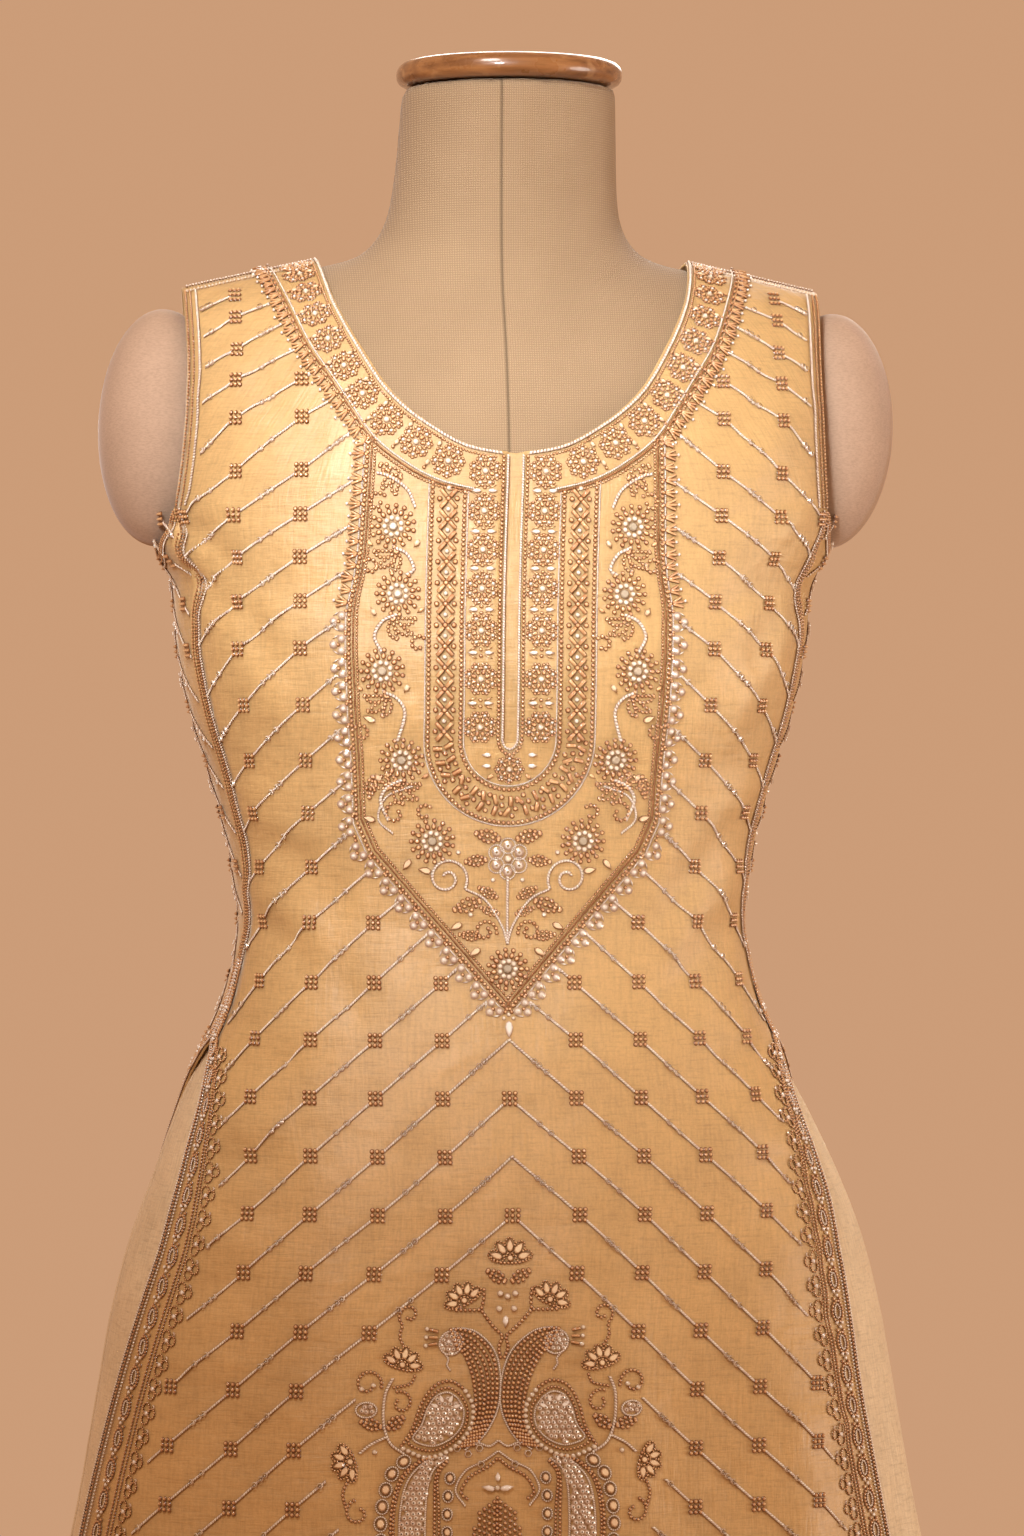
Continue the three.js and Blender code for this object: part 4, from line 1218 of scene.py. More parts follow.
def curve(*points, count=10):
    """A smooth path through points."""
    points = np.array(points, float)
    padded = np.concatenate([[2 * points[0] - points[1]], points, [2 * points[-1] - points[-2]]])
    t = np.linspace(0, 1, count, endpoint=False)[:, None]
    path = []
    for a, b, c, d in zip(padded, padded[1:], padded[2:], padded[3:]):
        path.append(0.5 * (
            2 * b + (c - a) * t + (2 * a - 5 * b + 4 * c - d) * t**2
            + (3 * b - a - 3 * c + d) * t**3
        ))
    return np.concatenate([*path, points[-1:]])


SORTS = {  # sewn sort: its body and its look
    "copper": ("bead", "copper_bead"), "copper_small": ("seed", "copper_bead"),
    "bar": ("bugle", "copper_bead"), "silver": ("seed", "silver_thread"),
    "pearl": ("bead", "pearl"), "white": ("seed", "crystal"), "sequin": ("sequin", "sequin"),
    "loop": ("loop", "sequin"), "drop": ("drop", "crystal"), "copper_drop": ("drop", "copper_bead"),
    "stone": ("stone", "dull_stone"), "leaf_stone": ("leaf", "crystal"),
    "thread": ("seed", "pink_thread"), "cord": ("seed", "dark_cord"),
    "gem": ("stone", "champagne"), "gem_leaf": ("leaf", "champagne"), "gem_drop": ("drop", "champagne"),
}
SLOTS = {  # a look's material slot, where it isn't pale_beads
    "copper_bead": "copper_beads", "silver_thread": "silver_thread",
    "pink_thread": "silver_thread", "dark_cord": "silver_thread",
}


STANDS = 0.42  # how high a piece's middle stands over the cloth, as a share of its height


def sewn_points(template, batches):
    """The points of each piece in its place on the cloth, and a tone for each piece."""
    points, tones = [], []
    for surface, rows in batches:
        x, z, way, size = rows[:, 0], rows[:, 1], rows[:, 2:4], rows[:, 4:7]
        place, normal = surface(x, z)
        ahead = surface(x + 0.3 * way[:, 0], z + 0.3 * way[:, 1])[0] - place
        ahead = unit(ahead - normal * (ahead * normal).sum(-1, keepdims=True))
        side = np.cross(normal, ahead)
        scaled = template[None] * size[:, None, :]
        centre = place + normal * size[:, 2:] * STANDS
        spots = centre[:, None] + scaled[..., :1] * ahead[:, None]
        spots += scaled[..., 1:2] * side[:, None] + scaled[..., 2:] * normal[:, None]
        points.append(spots.reshape(-1, 3))
        tones.append(RNG.random(len(rows)))
    return np.concatenate(points), np.concatenate(tones)


def sewn_mesh(name, kind, batches, look):
    """One mesh of all the pieces of a sort."""
    template, faces = BODIES[kind]
    points, tones = sewn_points(template, batches)
    # rise runs from a piece's base to its top; the bead looks turn it into painted shade by the cloth and
    # a painted highlight on top
    rise = template[:, 2] - template[:, 2].min()
    rise = np.interp(rise / rise.max(), (0, 1), PAINTED_SHADE_SPANS.get(kind, (0.0, 1.0)))
    corners = faces[None] + (np.arange(len(tones)) * len(template))[:, None, None]
    starts = np.arange(0, corners.size, 3)
    mesh = bpy.data.meshes.new(name)
    mesh.vertices.add(len(points))
    mesh.vertices.foreach_set("co", (points * MM).ravel())
    mesh.loops.add(corners.size)
    mesh.loops.foreach_set("vertex_index", corners.ravel())
    mesh.polygons.add(len(starts))
    mesh.polygons.foreach_set("loop_start", starts)
    mesh.polygons.foreach_set("use_smooth", [kind not in FLAT_BODIES] * len(starts))
    mesh.update(calc_edges=True)
    columns = {"tone": np.repeat(tones, len(template)), "rise": np.tile(rise, len(tones))}
    for column, values in columns.items():
        mesh.attributes.new(column, "FLOAT", "POINT").data.foreach_set("value", values)
    mesh.materials.append(look)
    piece = bpy.data.objects.new(name, mesh)
    bpy.context.scene.collection.objects.link(piece)
    return piece


def sew_all(prefix, box, looks):
    """Builds the meshes of one panel's needlework: one for each body and look."""
    merged = defaultdict(list)
    for sort, batches in box.items():
        body, look = SORTS[sort]
        merged[body, look] += batches
    for (body, look), batches in merged.items():
        piece = sewn_mesh(f"{prefix}_{look}_{body}", body, batches, looks[look])
        settle(piece, SLOTS.get(look, "pale_beads"))


# ---- The kurta's all-over pattern ----------------------------------------------------------------

COLUMN_PITCHES = table("z pitch", (940, 36.2), (1060, 36.7), (1180, 38.4), (1300, 38.9))
ROW_HEIGHTS = np.array([
    954, 985, 1017.5, 1047.5, 1077.3, 1106, 1136, 1166.5, 1192, 1216, 1239, 1263, 1292, 1313, 1331,
    1349, 1362,
])
ROW_PITCH = 31.1  # below the waist
LOWEST_ROW = -18
SQUARE_BEAD = 2.75  # a bead of the nine-bead squares
CHEVRON_RUN = 37.0  # about one column's width, for the slant of the threads
THREAD_START, THREAD_END = 0.11, 0.89  # the share of a column's thread that the squares leave free
THREAD_LENGTH = 88.0  # the strands of one column, end to end, as they overlap
BORDER_WIDTH = 36.0
BORDER_TOP = 996.0
SEAM_LOW = 990.0  # where the side seam's beads run into the border
EDGE_CLEAR = 10.0  # what the armholes' work takes
HEM_CLEAR = BORDER_WIDTH + 2
NOWHERE = -50.0  # a half-width less than nothing
BAND_OUTER = np.array([
    (132, 1381), (123, 1358), (112, 1332), (99.5, 1312), (90, 1297), (77.5, 1279), (60, 1265),
    (42.7, 1256), (23.3, 1251), (0, 1249),
])
SHIELD = np.array([
    (79.5, 1281), (82, 1212), (87, 1187), (87, 1163), (85.4, 1130), (83, 1105), (81, 1064), (0, 970),
])


def row_height(row):
    """The height of a row of squares, also below the table's first."""
    return float(ROW_HEIGHTS[row]) if row >= 0 else float(ROW_HEIGHTS[0] + ROW_PITCH * row)


def shield_half(z):
    """The shield's half-width at a height, or less than nothing below its tip."""
    order = np.argsort(SHIELD[:, 1])
    half = np.interp(z, SHIELD[order, 1], SHIELD[order, 0])
    return np.where(z < SHIELD[-1, 1], NOWHERE, half)


def band_half(z):
    """The neckline band's outer half-width at a height."""
    order = np.argsort(BAND_OUTER[:, 1])
    half = np.interp(z, BAND_OUTER[order, 1], BAND_OUTER[order, 0])
    return np.where(z < BAND_OUTER[-1, 1], NOWHERE, half)


def medallion_half(z):
    """The half-width that the medallion keeps free."""
    levels = [588, 612, 640, 690, 712, 735, 745, 760, 782, 845, 846]
    return np.interp(z, levels, [NOWHERE, 34, 58, 82, 90, 94, 86, 77, 73, 0, NOWHERE])


def panel_edge(z, back=False):
    """Where the front or back panel ends, as a distance round the body."""
    level = np.minimum(z, CHEST_Z)
    degrees = read(SIDE_EDGES, "z", level, "back" if back else "front")
    return ROUND.distance(degrees, level, back)


def border_width(z):
    """How far the beaded border reaches in from the slit's edge."""
    widths = [BORDER_WIDTH, BORDER_WIDTH, 33, 20, 9, 4]
    return np.interp(z, [400, 700, 860, 930, 990, 1040], widths)


def clear_of_edges(x, u, z, back):
    """True where the work along the slits, armholes, shoulders and hem leaves the cloth free."""
    arm = read(ARMHOLE, "z", np.clip(z, CHEST_Z, TIP_Z), "back" if back else "front")
    clear = np.abs(u) < panel_edge(z, back) - border_width(z) - 2
    clear &= (z <= CHEST_Z) | (x < arm - EDGE_CLEAR)
    return clear & (z < shoulder_height(x) - 5) & (z > KURTA_HEM + HEM_CLEAR)


def front_open(u, z):
    """True where the front's all-over pattern shows."""
    x = np.abs(round_x(np.abs(u), z))
    clear = (x > shield_half(z) + 7) & (x > band_half(z) + 9) & (x > medallion_half(z))
    return clear & clear_of_edges(x, u, z, False)


def back_neck(x):
    """The back neckline's height at a distance from the middle."""
    return on_shoulder(np.abs(x), column_top(np.minimum(np.abs(x), NECK_X), 1), 1)[..., 2]


def back_open(u, z):
    """True where the back's all-over pattern shows."""
    x = np.abs(round_x(u, z, True))
    clear = (x > NECK_X + 26) | (z < back_neck(np.clip(x - 10, 0, NECK_X)) - 30)
    return clear & clear_of_edges(x, u, z, True)


def on_front_round(u, z, bare=False):
    """The front's points at a distance u round the body."""
    u, z = np.broadcast_arrays(np.asarray(u, float), np.asarray(z, float))
    return on_front(round_x(u, z), z, bare)


def all_over(surface, is_open, box, columns, strands):
    """Chevron lines of twisted thread with nine-bead squares where they cross the columns."""
    pen = Pen(surface, box)
    rows = np.arange(LOWEST_ROW + 1, len(ROW_HEIGHTS))
    column, row = (part.ravel() for part in np.meshgrid(np.arange(columns), rows))
    high = np.array([row_height(m) for m in row])
    low = np.array([row_height(m - 1) for m in row])
    bare = (column == 0) & (row % 2 == 0)
    start = np.where(bare, 0.0, THREAD_START)
    share = np.linspace(0, 1, strands)[None, :]
    share = start[:, None] + (THREAD_END - start)[:, None] * share
    step = SQUARE_BEAD * 1.02
    square = [part.ravel() for part in np.meshgrid([-step, 0, step], [-step, 0, step])]
    for side in (-1, 1):
        z = high[:, None] + (low - high)[:, None] * share
        u = side * read(COLUMN_PITCHES, "z", z, "pitch") * (column[:, None] + share)
        angle = np.broadcast_to(np.arctan2(low - high, side * CHEVRON_RUN)[:, None], u.shape)
        shown = is_open(u, z)
        size = (THREAD_LENGTH / strands, 1.6, 1.5)
        pen.sew("thread", u[shown], z[shown], angle[shown] + 0.5, size)
        rings = np.zeros(u.shape, bool)
        rings[:, [int(strands * 0.4), int(strands * 0.6)]] = True
        rings[(column + row) % 2 == 0, strands // 2] = True
        rings &= shown
        pen.sew("loop", u[rings], z[rings], 0.0, (3.9, 3.9, 2.4))
        place = side * read(COLUMN_PITCHES, "z", high, "pitch") * column
        keep = ~bare & ((column > 0) | (side > 0)) & is_open(place, high)
        across, up = place[keep][:, None] + square[0], high[keep][:, None] + square[1]
        pen.dots("copper", across, up, SQUARE_BEAD)


# ---- Motifs --------------------------------------------------------------------------------------


def ring(pen, kind, radius, count, size, start=0.0):
    """Pieces round a circle, pointing outwards."""
    angle = np.radians(start) + 2 * np.pi * np.arange(count) / count
    pen.sew(kind, radius * np.cos(angle), radius * np.sin(angle), angle, size)


def rosette(pen, radius, start=22.5):
    """A flower of eight looped petals round a pearl."""
    scale = radius / 8
    angle = np.radians(start) + 2 * np.pi * np.arange(8) / 8
    ring(pen, "copper", radius * 0.40, 8, (2.5 * scale, 2.2 * scale, 2.2), start)
    loop = 2 * np.pi * np.arange(6) / 6
    across = radius * 0.72 * np.cos(angle)[:, None] + 1.75 * scale * np.cos(loop + angle[:, None])
    up = radius * 0.72 * np.sin(angle)[:, None] + 1.75 * scale * np.sin(loop + angle[:, None])
    turn = angle[:, None] + loop + np.pi / 2
    pen.sew("copper", across, up, turn, (1.9 * scale, 1.5 * scale, 1.8))
    ring(pen, "white", radius * 0.74, 8, (1.9 * scale, 1.9 * scale, 1.7), start)
    pen.sew("pearl", 0, 0, 0, (3.2 * scale, 3.2 * scale, 3.0))


def sun_flower(pen, radius=11.0):
    """A dull stone in a ring of pearls, with bead rays."""
    pen.sew("stone", 0, 0, 0, (5.4, 5.4, 2.6))
    ring(pen, "pearl", radius * 0.42, 9, (3.2, 3.3, 3.2))
    ring(pen, "copper", radius * 0.74, 15, (3.8, 2.9, 2.9))
    ring(pen, "copper", radius * 1.03, 15, (2.8, 2.8, 2.7))


def sequin_flower(pen):
    """Six sequin petals with silver outlines."""
    angle = np.pi / 2 + 2 * np.pi * np.arange(6) / 6
    middles = 7.13 * stacked(np.cos(angle), np.sin(angle))
    pen.sew("sequin", middles[:, 0], middles[:, 1], 0, (5.6, 5.6, 1.5))
    for x, z in middles:
        pen.line("silver", arc(x, z, 4.14, 0, 360), 1.1, (2.0, 0.9, 1.0), 0.6)
    pen.sew("pearl", 0, 0, 0, (4.2, 4.2, 3.6))


def bead_leaf(pen, length, wide, rows=3):
    """A pointed leaf along +x, filled with rows of beads."""
    edge = 0.5 * wide
    for share in np.linspace(-1, 1, rows):
        path = curve((0, 0), (length * 0.45, share * edge), (length, 0))
        size = min(2.6, wide / rows * 1.35)
        pen.line("copper", path, size * 1.1, (size * 1.1, size, size))


def crescent(pen, length, bulge):
    """A half-moon leaf with beads along both edges."""
    for share in (0.2, 1.75):
        peak = bulge * share
        path = curve((0, 0), (length * 0.32, peak), (length * 0.72, peak), (length, 0))
        pen.beads(path, 2.2)


def fan_flower(pen, radius):
    """Five stones in a fan with bead outlines, on a small cup."""
    angle = np.radians(np.linspace(18, 162, 5))
    x, z = radius * 0.62 * np.cos(angle), radius * 0.62 * np.sin(angle)
    pen.sew("gem_leaf", x, z, angle, (radius * 0.50, radius * 0.36, 2.6))
    for turn in angle:
        petal = arc(radius * 0.03, 0, radius * 0.40, 0, 360, radius * 0.26)
        spin = np.array([[math.cos(turn), -math.sin(turn)], [math.sin(turn), math.cos(turn)]])
        middle = radius * 0.64 * np.array([math.cos(turn), math.sin(turn)])
        pen.line("copper_small", petal @ spin.T + middle, 1.6, (2.0, 1.3, 1.7))
    pen.sew("gem", 0, radius * 0.1, 0, (3.6, 3.6, 2.8))
    for side in (-1, 1):
        cup_leaf = curve((0, -0.12), (side * 0.5, -0.08), (side * 0.95, 0.2)) * radius
        pen.line("copper", cup_leaf, 2.0, (2.1, 1.9, 2.0))


def bow_bars(pen):
    """Two leaf drops that point outwards, tied by thin bars."""
    for side in (-1, 1):
        turn = 0 if side > 0 else math.pi
        pen.sew("drop", side * 4.6, 0, turn, (5.6, 2.6, 2.4))
        pen.sew("copper_small", side * 4.2, [2.2, -2.2], [turn + 0.4, turn - 0.4], (5.4, 1.2, 1.4))
    pen.sew("copper", 0, [1.7, -1.7], 0, (2.4, 2.0, 2.0))


def u_shape(half, top, turn_z, bottom):
    """Down one side, round the bottom and up the other."""
    bend = arc(0, turn_z, half, 180, 360, turn_z - bottom, 40)
    return np.concatenate([[(-half, top)], bend, [(half, top)]])


# ---- The yoke ------------------------------------------------------------------------------------

INNER_U = (27.0, 1252.0, 1117.0, 1090.0)  # half-width, top, where the bend starts, bottom
OUTER_U = (44.5, 1257.0, 1117.0, 1072.0)
SLIT_ROW_X = 16.4  # the rosettes and bows beside the slit
SLIT_ROSETTES = (1262, 1240.5, 1219.4, 1198.4, 1175.7, 1149.7, 1123.8)
SLIT_BOWS = (1251.3, 1229.2, 1209.2, 1187, 1163.8, 1136.7)
SUN_FLOWERS = ((65, 1232), (61.4, 1195.6), (69.2, 1154), (58.1, 1106), (41, 1062))


def neck_edge(side):
    """Points along the neckline, from the middle to the shoulder."""
    x = np.concatenate([np.linspace(0, 92, 40), np.linspace(93, 103.9, 34)])
    return on_shoulder(x, column_top(x, side), side)


def neckline_path(out):
    """The front neckline moved out by some millimetres."""
    points = neck_edge(-1)[:, [0, 2]]
    step = np.gradient(points, axis=0)
    moved = points + unit(stacked(step[:, 1], -step[:, 0])) * out
    moved[:, 1] = np.minimum(moved[:, 1], shoulder_height(moved[:, 0]) - 0.4)
    return moved[moved[:, 0] >= 0]


def back_neck_path(out):
    """The back neckline moved down by some millimetres."""
    points = neck_edge(1)
    away = unit(np.cross(np.gradient(points, axis=0), kurta_normals(points)))
    away *= np.where(away[:, 2:] > 0, -1, 1)
    x, _, z = (points + away * out).T
    return stacked(x, np.minimum(z, shoulder_height(x) - 0.5))[x > -0.5]


def opening_work(pen):
    """Rope and beads round the slit, with rosettes and bows beside it."""
    pen.rope(u_shape(4.2, 1271, 1118, 1112.0), 1.5)
    pen.beads(u_shape(6.5, 1271, 1118, 1109.2), 2.2)
    for z in SLIT_ROSETTES:
        for side in (-1, 1):
            rosette(pen.at(side * SLIT_ROW_X, z), 9.2)
    for z in SLIT_BOWS:
        for side in (-1, 1):
            bow_bars(pen.at(side * SLIT_ROW_X, z))
    rosette(pen.at(0, 1101.0), 8.2, 0.0)
    for side in (-1, 1):
        turn = 0 if side > 0 else math.pi
        pen.sew("drop", side * 12.6, [1103, 1109], turn, (5.4, 3.0, 2.6))
        pen.sew("copper_drop", side * 10.5, 1097, turn - side * 0.7, (5, 2.6, 2.4))


def u_strip(pen):
    """The bead-edged strip round the opening, crossed with bugles."""
    for (half, top, turn_z, bottom), out in ((INNER_U, -1.9), (OUTER_U, 1.9)):
        pen.beads(u_shape(half, top, turn_z, bottom), 2.5)
        pen.rope(u_shape(half + out, top, turn_z, bottom - out), 0.9)
    for side in (-1, 1):
        for z in np.arange(1247, 1118, -11.4):
            lozenge(pen.at(side * 35.8, z))
    for turn in np.linspace(186, 354, 15):
        x, z = arc(0, 1117, 36.3, turn, turn, 36, 1)[0]
        lean_by = 22 * math.sin(turn * 2.3)
        local = pen.at(x, z, math.radians(turn + lean_by))
        local.sew("bar", [-3.1, 3.1], [0, 0], [0.3, -0.3], (5.8, 3.1, 2.8))
        local.sew("copper", [-4.4, 0, 4.4], [3.4, 3.9, 3.6], 0, (3.1, 3.1, 2.8))


def lozenge(pen):
    """Crossed bugles with a bead at their meeting and beads in the gaps."""
    for turn in (0.86, math.pi - 0.86):
        a, b = math.cos(turn), math.sin(turn)
        pen.sew("bar", [a * 4.0, -a * 4.0], [b * 4.0, -b * 4.0], turn, (5.6, 3.1, 2.8))
    pen.dots("copper", 0, 0, 3.4)
    pen.dots("pearl", 0, 5.7, 2.9)
    pen.sew("copper", [4.7, -4.7], 0, 0, (3.1, 3.1, 2.8))


def neck_band(pen):
    """Rope and beads along the neckline, a row of rosettes, and a cord outside them."""
    inner = neckline_path(1.2)
    inner = inner[inner[:, 0] > 5.4]
    pen.rope(inner, 2.0)
    second = neckline_path(3.8)
    pen.beads(second[second[:, 0] > 7.8], 1.6)
    outer = curve(*BAND_OUTER[:-1], count=8)
    pen.rope(outer, 1.3, "cord")
    pen.beads(outer + (1.6, -1.2), 1.7)
    pen.rope(outer + (-1.5, 1.3), 1.3)
    between = neckline_path(12.8)
    for x, z, angle in zip(*pen.spaced(between[between[:, 0] > 26], 19.8)):
        rosette(pen.at(x, z, angle), 9.4)
    for x, z, angle in zip(*pen.spaced(between[between[:, 0] > 36], 19.8)):
        local = pen.at(x, z, angle)
        local.sew("gem_drop", [0, 0], [6.4, -6.4], [1.57, -1.57], (4.6, 3.0, 2.6))
        local.dots("copper", [0, 0], [9.2, -9.2], 2.2)


def spikes(pen, path, pitch):
    """Clusters of three bugles that stand out from a line, with a bead at the tips."""
    for k, (x, z, angle) in enumerate(zip(*pen.spaced(path, pitch))):
        local = pen.at(x, z, angle + math.pi / 2)
        reach = 8.0 if k % 2 else 8.0 * 0.82
        for tilt in (-0.42, 0.0, 0.42):
            a = reach * 0.5 * math.cos(tilt) + 1.2
            b = reach * 0.5 * math.sin(tilt)
            local.sew("bar", a, b, tilt, (reach * 0.86, 2.1, 2.2))
        local.sew("white", reach + 1.4, 0, 0, (2.2, 2.2, 2.4))
        local.sew("copper", 0.8, 0, 0, (2.4, 2.4, 2.6))


def sequin_edge(pen, path, pitch):
    """Sequins held by white beads, standing out from a line."""
    for x, z, angle in zip(*pen.spaced(path, pitch)):
        local = pen.at(x, z, angle + math.pi / 2)
        local.sew("sequin", [4.0, 8.4, 4.0], [3.2, 0, -3.2], 0, (4.8, 4.8, 1.8))
        local.sew("white", [4.0, 8.4, 4.0], [3.2, 0, -3.2], 0, (2.2, 2.2, 2.8))
        local.dots("copper", [1.8, 5.8, 1.8], [5.6, 0, -5.6], 2.3)
        for tilt in (-0.5, 0.5):
            local.sew("thread", 8.0 - 2 * abs(tilt), 8.4 * tilt, tilt * 2 + 1.57, (5.0, 1.0, 1.3))


def shield_edge(pen):
    """Beads, cord, bugle spikes and sequins along the shield."""
    upper = np.array([p for p in SHIELD if p[1] >= 1187])
    lower = np.array([p for p in SHIELD if 1064 <= p[1] <= 1187])
    tip = SHIELD[-2:]
    pen.beads(SHIELD, 2.5)
    pen.rope(SHIELD + (-2.2, 1.4), 1.2, "cord")
    pen.beads(SHIELD + (-4.0, 2.4), 1.7)
    pen.rope(SHIELD + (1.9, -1.2), 1.0)
    spikes(pen, upper, 6.8)
    sequin_edge(pen, lower, 13.0)
    sequin_edge(pen, tip, 12.2)


def side_scroll(pen, drop, out):
    """What fills the space under a sun flower: a silver stem, a fan of leaves, a curl and a stone."""
    pen.rope(curve((0, -11), (-out * 8, -15), (-out * 12, -23), (-out * 8, -drop + 10)), 2.0)
    for turn, length in ((0.0, 13.0), (-0.66, 14.5), (-1.3, 12.5)):
        angle = turn if out > 0 else math.pi - turn
        crescent(pen.at(-out * 2.5, -13.0, angle), length, -2.0 * out)
    curl = spiral(out * 11.5, -drop + 14.5, 4.6, 2.2, 90 - out * 60, 90 + out * 240, 24)
    pen.beads(curl, 2.5)
    pen.sew("gem_drop", -out * 13.0, -9.5, -out * 1.0, (5.4, 3.6, 2.8))
    pen.sew("copper_drop", out * 12.5, -9.0, out * 0.6, (5.0, 2.6, 2.4))


def side_panels(pen):
    """Between the U and the shield's edge: sun flowers joined by scrolls."""
    for x, z in SUN_FLOWERS:
        sun_flower(pen.at(x, z))
    for k, ((x0, z0), (_, z1)) in enumerate(zip(SUN_FLOWERS, SUN_FLOWERS[1:])):
        side_scroll(pen.at(x0, z0), z0 - z1, 1 if k % 2 == 0 else -1)
    top = pen.at(64, 1262)
    top.rope(curve((11, -1), (4, -3), (-6, -10), (-11, -20)), 1.9)
    for turn, length in ((0.1, 11), (-0.6, 13), (-1.3, 11)):
        crescent(top.at(-3, -3, turn), length, 2.0)
    top.beads(spiral(10, -17, 5.6, 1.6, 150, -210, 30), 2.4)
    bead_leaf(top.at(3, 0, 0.5), 8, 3.6, 2)


def below_u(pen):
    """Under the U: a star flower, its stem, spirals and leaves, and a pearl flower at the tip."""
    for half in pen.mirrored():
        for x, z, turn, length, wide in (
            (4, 1063, 0.25, 15, 6), (11, 1052, -0.1, 13, 5), (5, 1031, 0.5, 13, 4.5),
            (4, 1022, 0.35, 12, 4), (14, 1030, -0.35, 17, 6.5), (14, 1010, 0.1, 13, 4.5),
        ):
            bead_leaf(half.at(x, z, turn), length, wide)
        half.rope(spiral(33, 1042, 11.5, 2.0, 210, -330), 1.7)
        half.rope(curve((23, 1036), (12, 1030), (3, 1016), (0, 1006)), 1.5)
        half.beads(spiral(12, 1013, 6.4, 1.8, 200, -260), 2.4)
        half.sew("gem_leaf", [17, 27, 44], [1002, 1016, 1046], [-0.6, -0.5, 0.2], (5.6, 3.8, 2.6))
        half.dots("pearl", [8, 20, 27], [1041, 1022, 1056], 2.8)
        half.beads(spiral(61, 1077, 6.6, 1.6, 120, -250), 2.4)
        half.rope(curve((52, 1092), (66, 1086), (70, 1074), (62, 1066)), 1.4)
        for turn in (0.1, 0.7, 1.3):
            crescent(half.at(64, 1090, turn), 10, 2.0)
        half.sew("gem_leaf", [74, 54, 75], [1074, 1050, 1128], [0.3, -0.9, 0.4], (5.4, 3.6, 2.6))
        bead_leaf(half.at(73, 1098, -1.35), 14, 5)
    sequin_flower(pen.at(0, 1052.4))
    pen.rope(np.array([(0, 1043), (0, 1008)]), 1.6)
    sun_flower(pen.at(0, 992.5), 10.2)
    pen.sew("leaf_stone", 0, 961, -math.pi / 2, (7.0, 4.4, 2.8))
    pen.dots("pearl", [0, -2.6, 2.6], [968, 966, 966], 2.4)


def yoke(box):
    pen = Pen(on_front, box)
    opening_work(pen)
    u_strip(pen)
    for half in pen.mirrored():
        neck_band(half)
        shield_edge(half)
        side_panels(half)
        spikes(half, curve(*BAND_OUTER[:6], count=6), 6.2)
    below_u(pen)


# ---- The medallion on the skirt ------------------------------------------------------------------

TOP_FLOWER_Z = 838.0
HEAD = (28.2, 793.6)
NECK_OUTER = (
    (30, 800.5), (23, 800.6), (15.8, 798), (6.6, 789), (2.4, 776), (2.4, 760), (7.1, 748), (14, 739),
)
NECK_INNER = (
    (25.5, 791), (21.5, 789), (18.5, 784), (15.6, 777), (13.6, 769), (12.6, 757), (15, 746), (22, 738),
)
WING = (
    (19.5, 769.5), (14.2, 760), (15.6, 748), (24.5, 738), (38.1, 733.2), (52.4, 738.5), (46, 749),
    (41.9, 761.4), (35.7, 770.8), (27, 773.6),
)
BAND_OUT = (
    (30, 735), (42, 731.4), (52, 722), (56.4, 706), (56.4, 686), (52, 660), (38, 632), (18, 613),
    (0, 601),
)
BAND_IN = ((27, 732), (33, 724), (33.4, 706), (33, 686), (30, 662), (22, 641), (10, 626), (0, 618))


def inside(polygon, x, z):
    """True for points inside a closed outline."""
    found = np.zeros(x.shape, bool)
    for (x0, z0), (x1, z1) in zip(polygon, np.roll(polygon, -1, axis=0)):
        crosses = (z0 > z) != (z1 > z)
        found ^= crosses & (x < (x1 - x0) * (z - z0) / (z1 - z0 + 1e-12) + x0)
    return found


def fill(pen, outline, pitch, size):
    """Sequins close together inside an outline, a little out of line."""
    low, high = outline.min(0), outline.max(0)
    x, z = np.meshgrid(np.arange(low[0], high[0], pitch), np.arange(low[1], high[1], pitch * 0.86))
    x += (np.arange(len(x)) % 2)[:, None] * pitch / 2
    x, z = x + RNG.normal(0, 0.25, x.shape), z + RNG.normal(0, 0.25, x.shape)
    kept = inside(outline, x, z)
    pen.sew("sequin", x[kept], z[kept], RNG.random(kept.sum()) * 6, size)


def even(points, count=40):
    """A path through points, at equal steps."""
    path = curve(*points)
    steps = np.concatenate([[0], np.cumsum(np.hypot(*np.diff(path, axis=0).T))])
    at = np.linspace(0, steps[-1], count)
    return stacked(*(np.interp(at, steps, column) for column in path.T))


def peacock(pen):
    """A bird that faces out: a sequined head with a bead crest, a bead neck and a paisley wing."""
    outer, inner = even(NECK_OUTER), even(NECK_INNER)
    for share in np.linspace(0, 1, 6):
        pen.beads(outer * (1 - share) + inner * share, 2.45)
    pen.rope(outer + (-1.9, 0.6), 1.2)
    fill(pen, arc(*HEAD, 5.6, 0, 360), 2.7, (3.2, 3.2, 1.5))
    pen.rope(arc(*HEAD, 6.2, 0, 360), 1.3)
    pen.sew("white", HEAD[0] + 1.5, HEAD[1] + 0.5, 0, (2.8, 2.8, 3.0))
    pen.rope(curve((31, 788), (29, 785), (29.5, 782), (27.5, 779)), 1.2)
    for rise, tilt in ((4.2, 0.22), (0.6, 0.0), (-3.0, -0.2)):
        x, z = HEAD[0] + 9.8, HEAD[1] + 2.4 + rise
        pen.sew("bar", x, z, tilt, (5.2, 2.1, 2.2))
        pen.dots("pearl", x + 3.8 * math.cos(tilt), z + 3.8 * math.sin(tilt), 2.7)
    wing = even(WING + WING[:1], 80)
    middle = np.array([30.5, 753.5])
    pen.beads(even(WING[:6], 50), 3.0, "pearl")
    pen.beads(even(WING[5:] + WING[:1], 40), 2.2)
    pen.beads(middle + (wing - middle) * 0.82, 1.9)
    pen.rope(middle + (wing - middle) * 0.70, 1.2)
    fill(pen, middle + (wing - middle) * 0.62, 3.0, (3.7, 3.7, 1.7))
    for turn in (0.4, 1.2, 2.0, 2.8):
        pen.sew("leaf_stone", 29 + 6 * math.cos(turn), 758 + 6 * math.sin(turn), turn, (3.6, 2.6, 2.6))


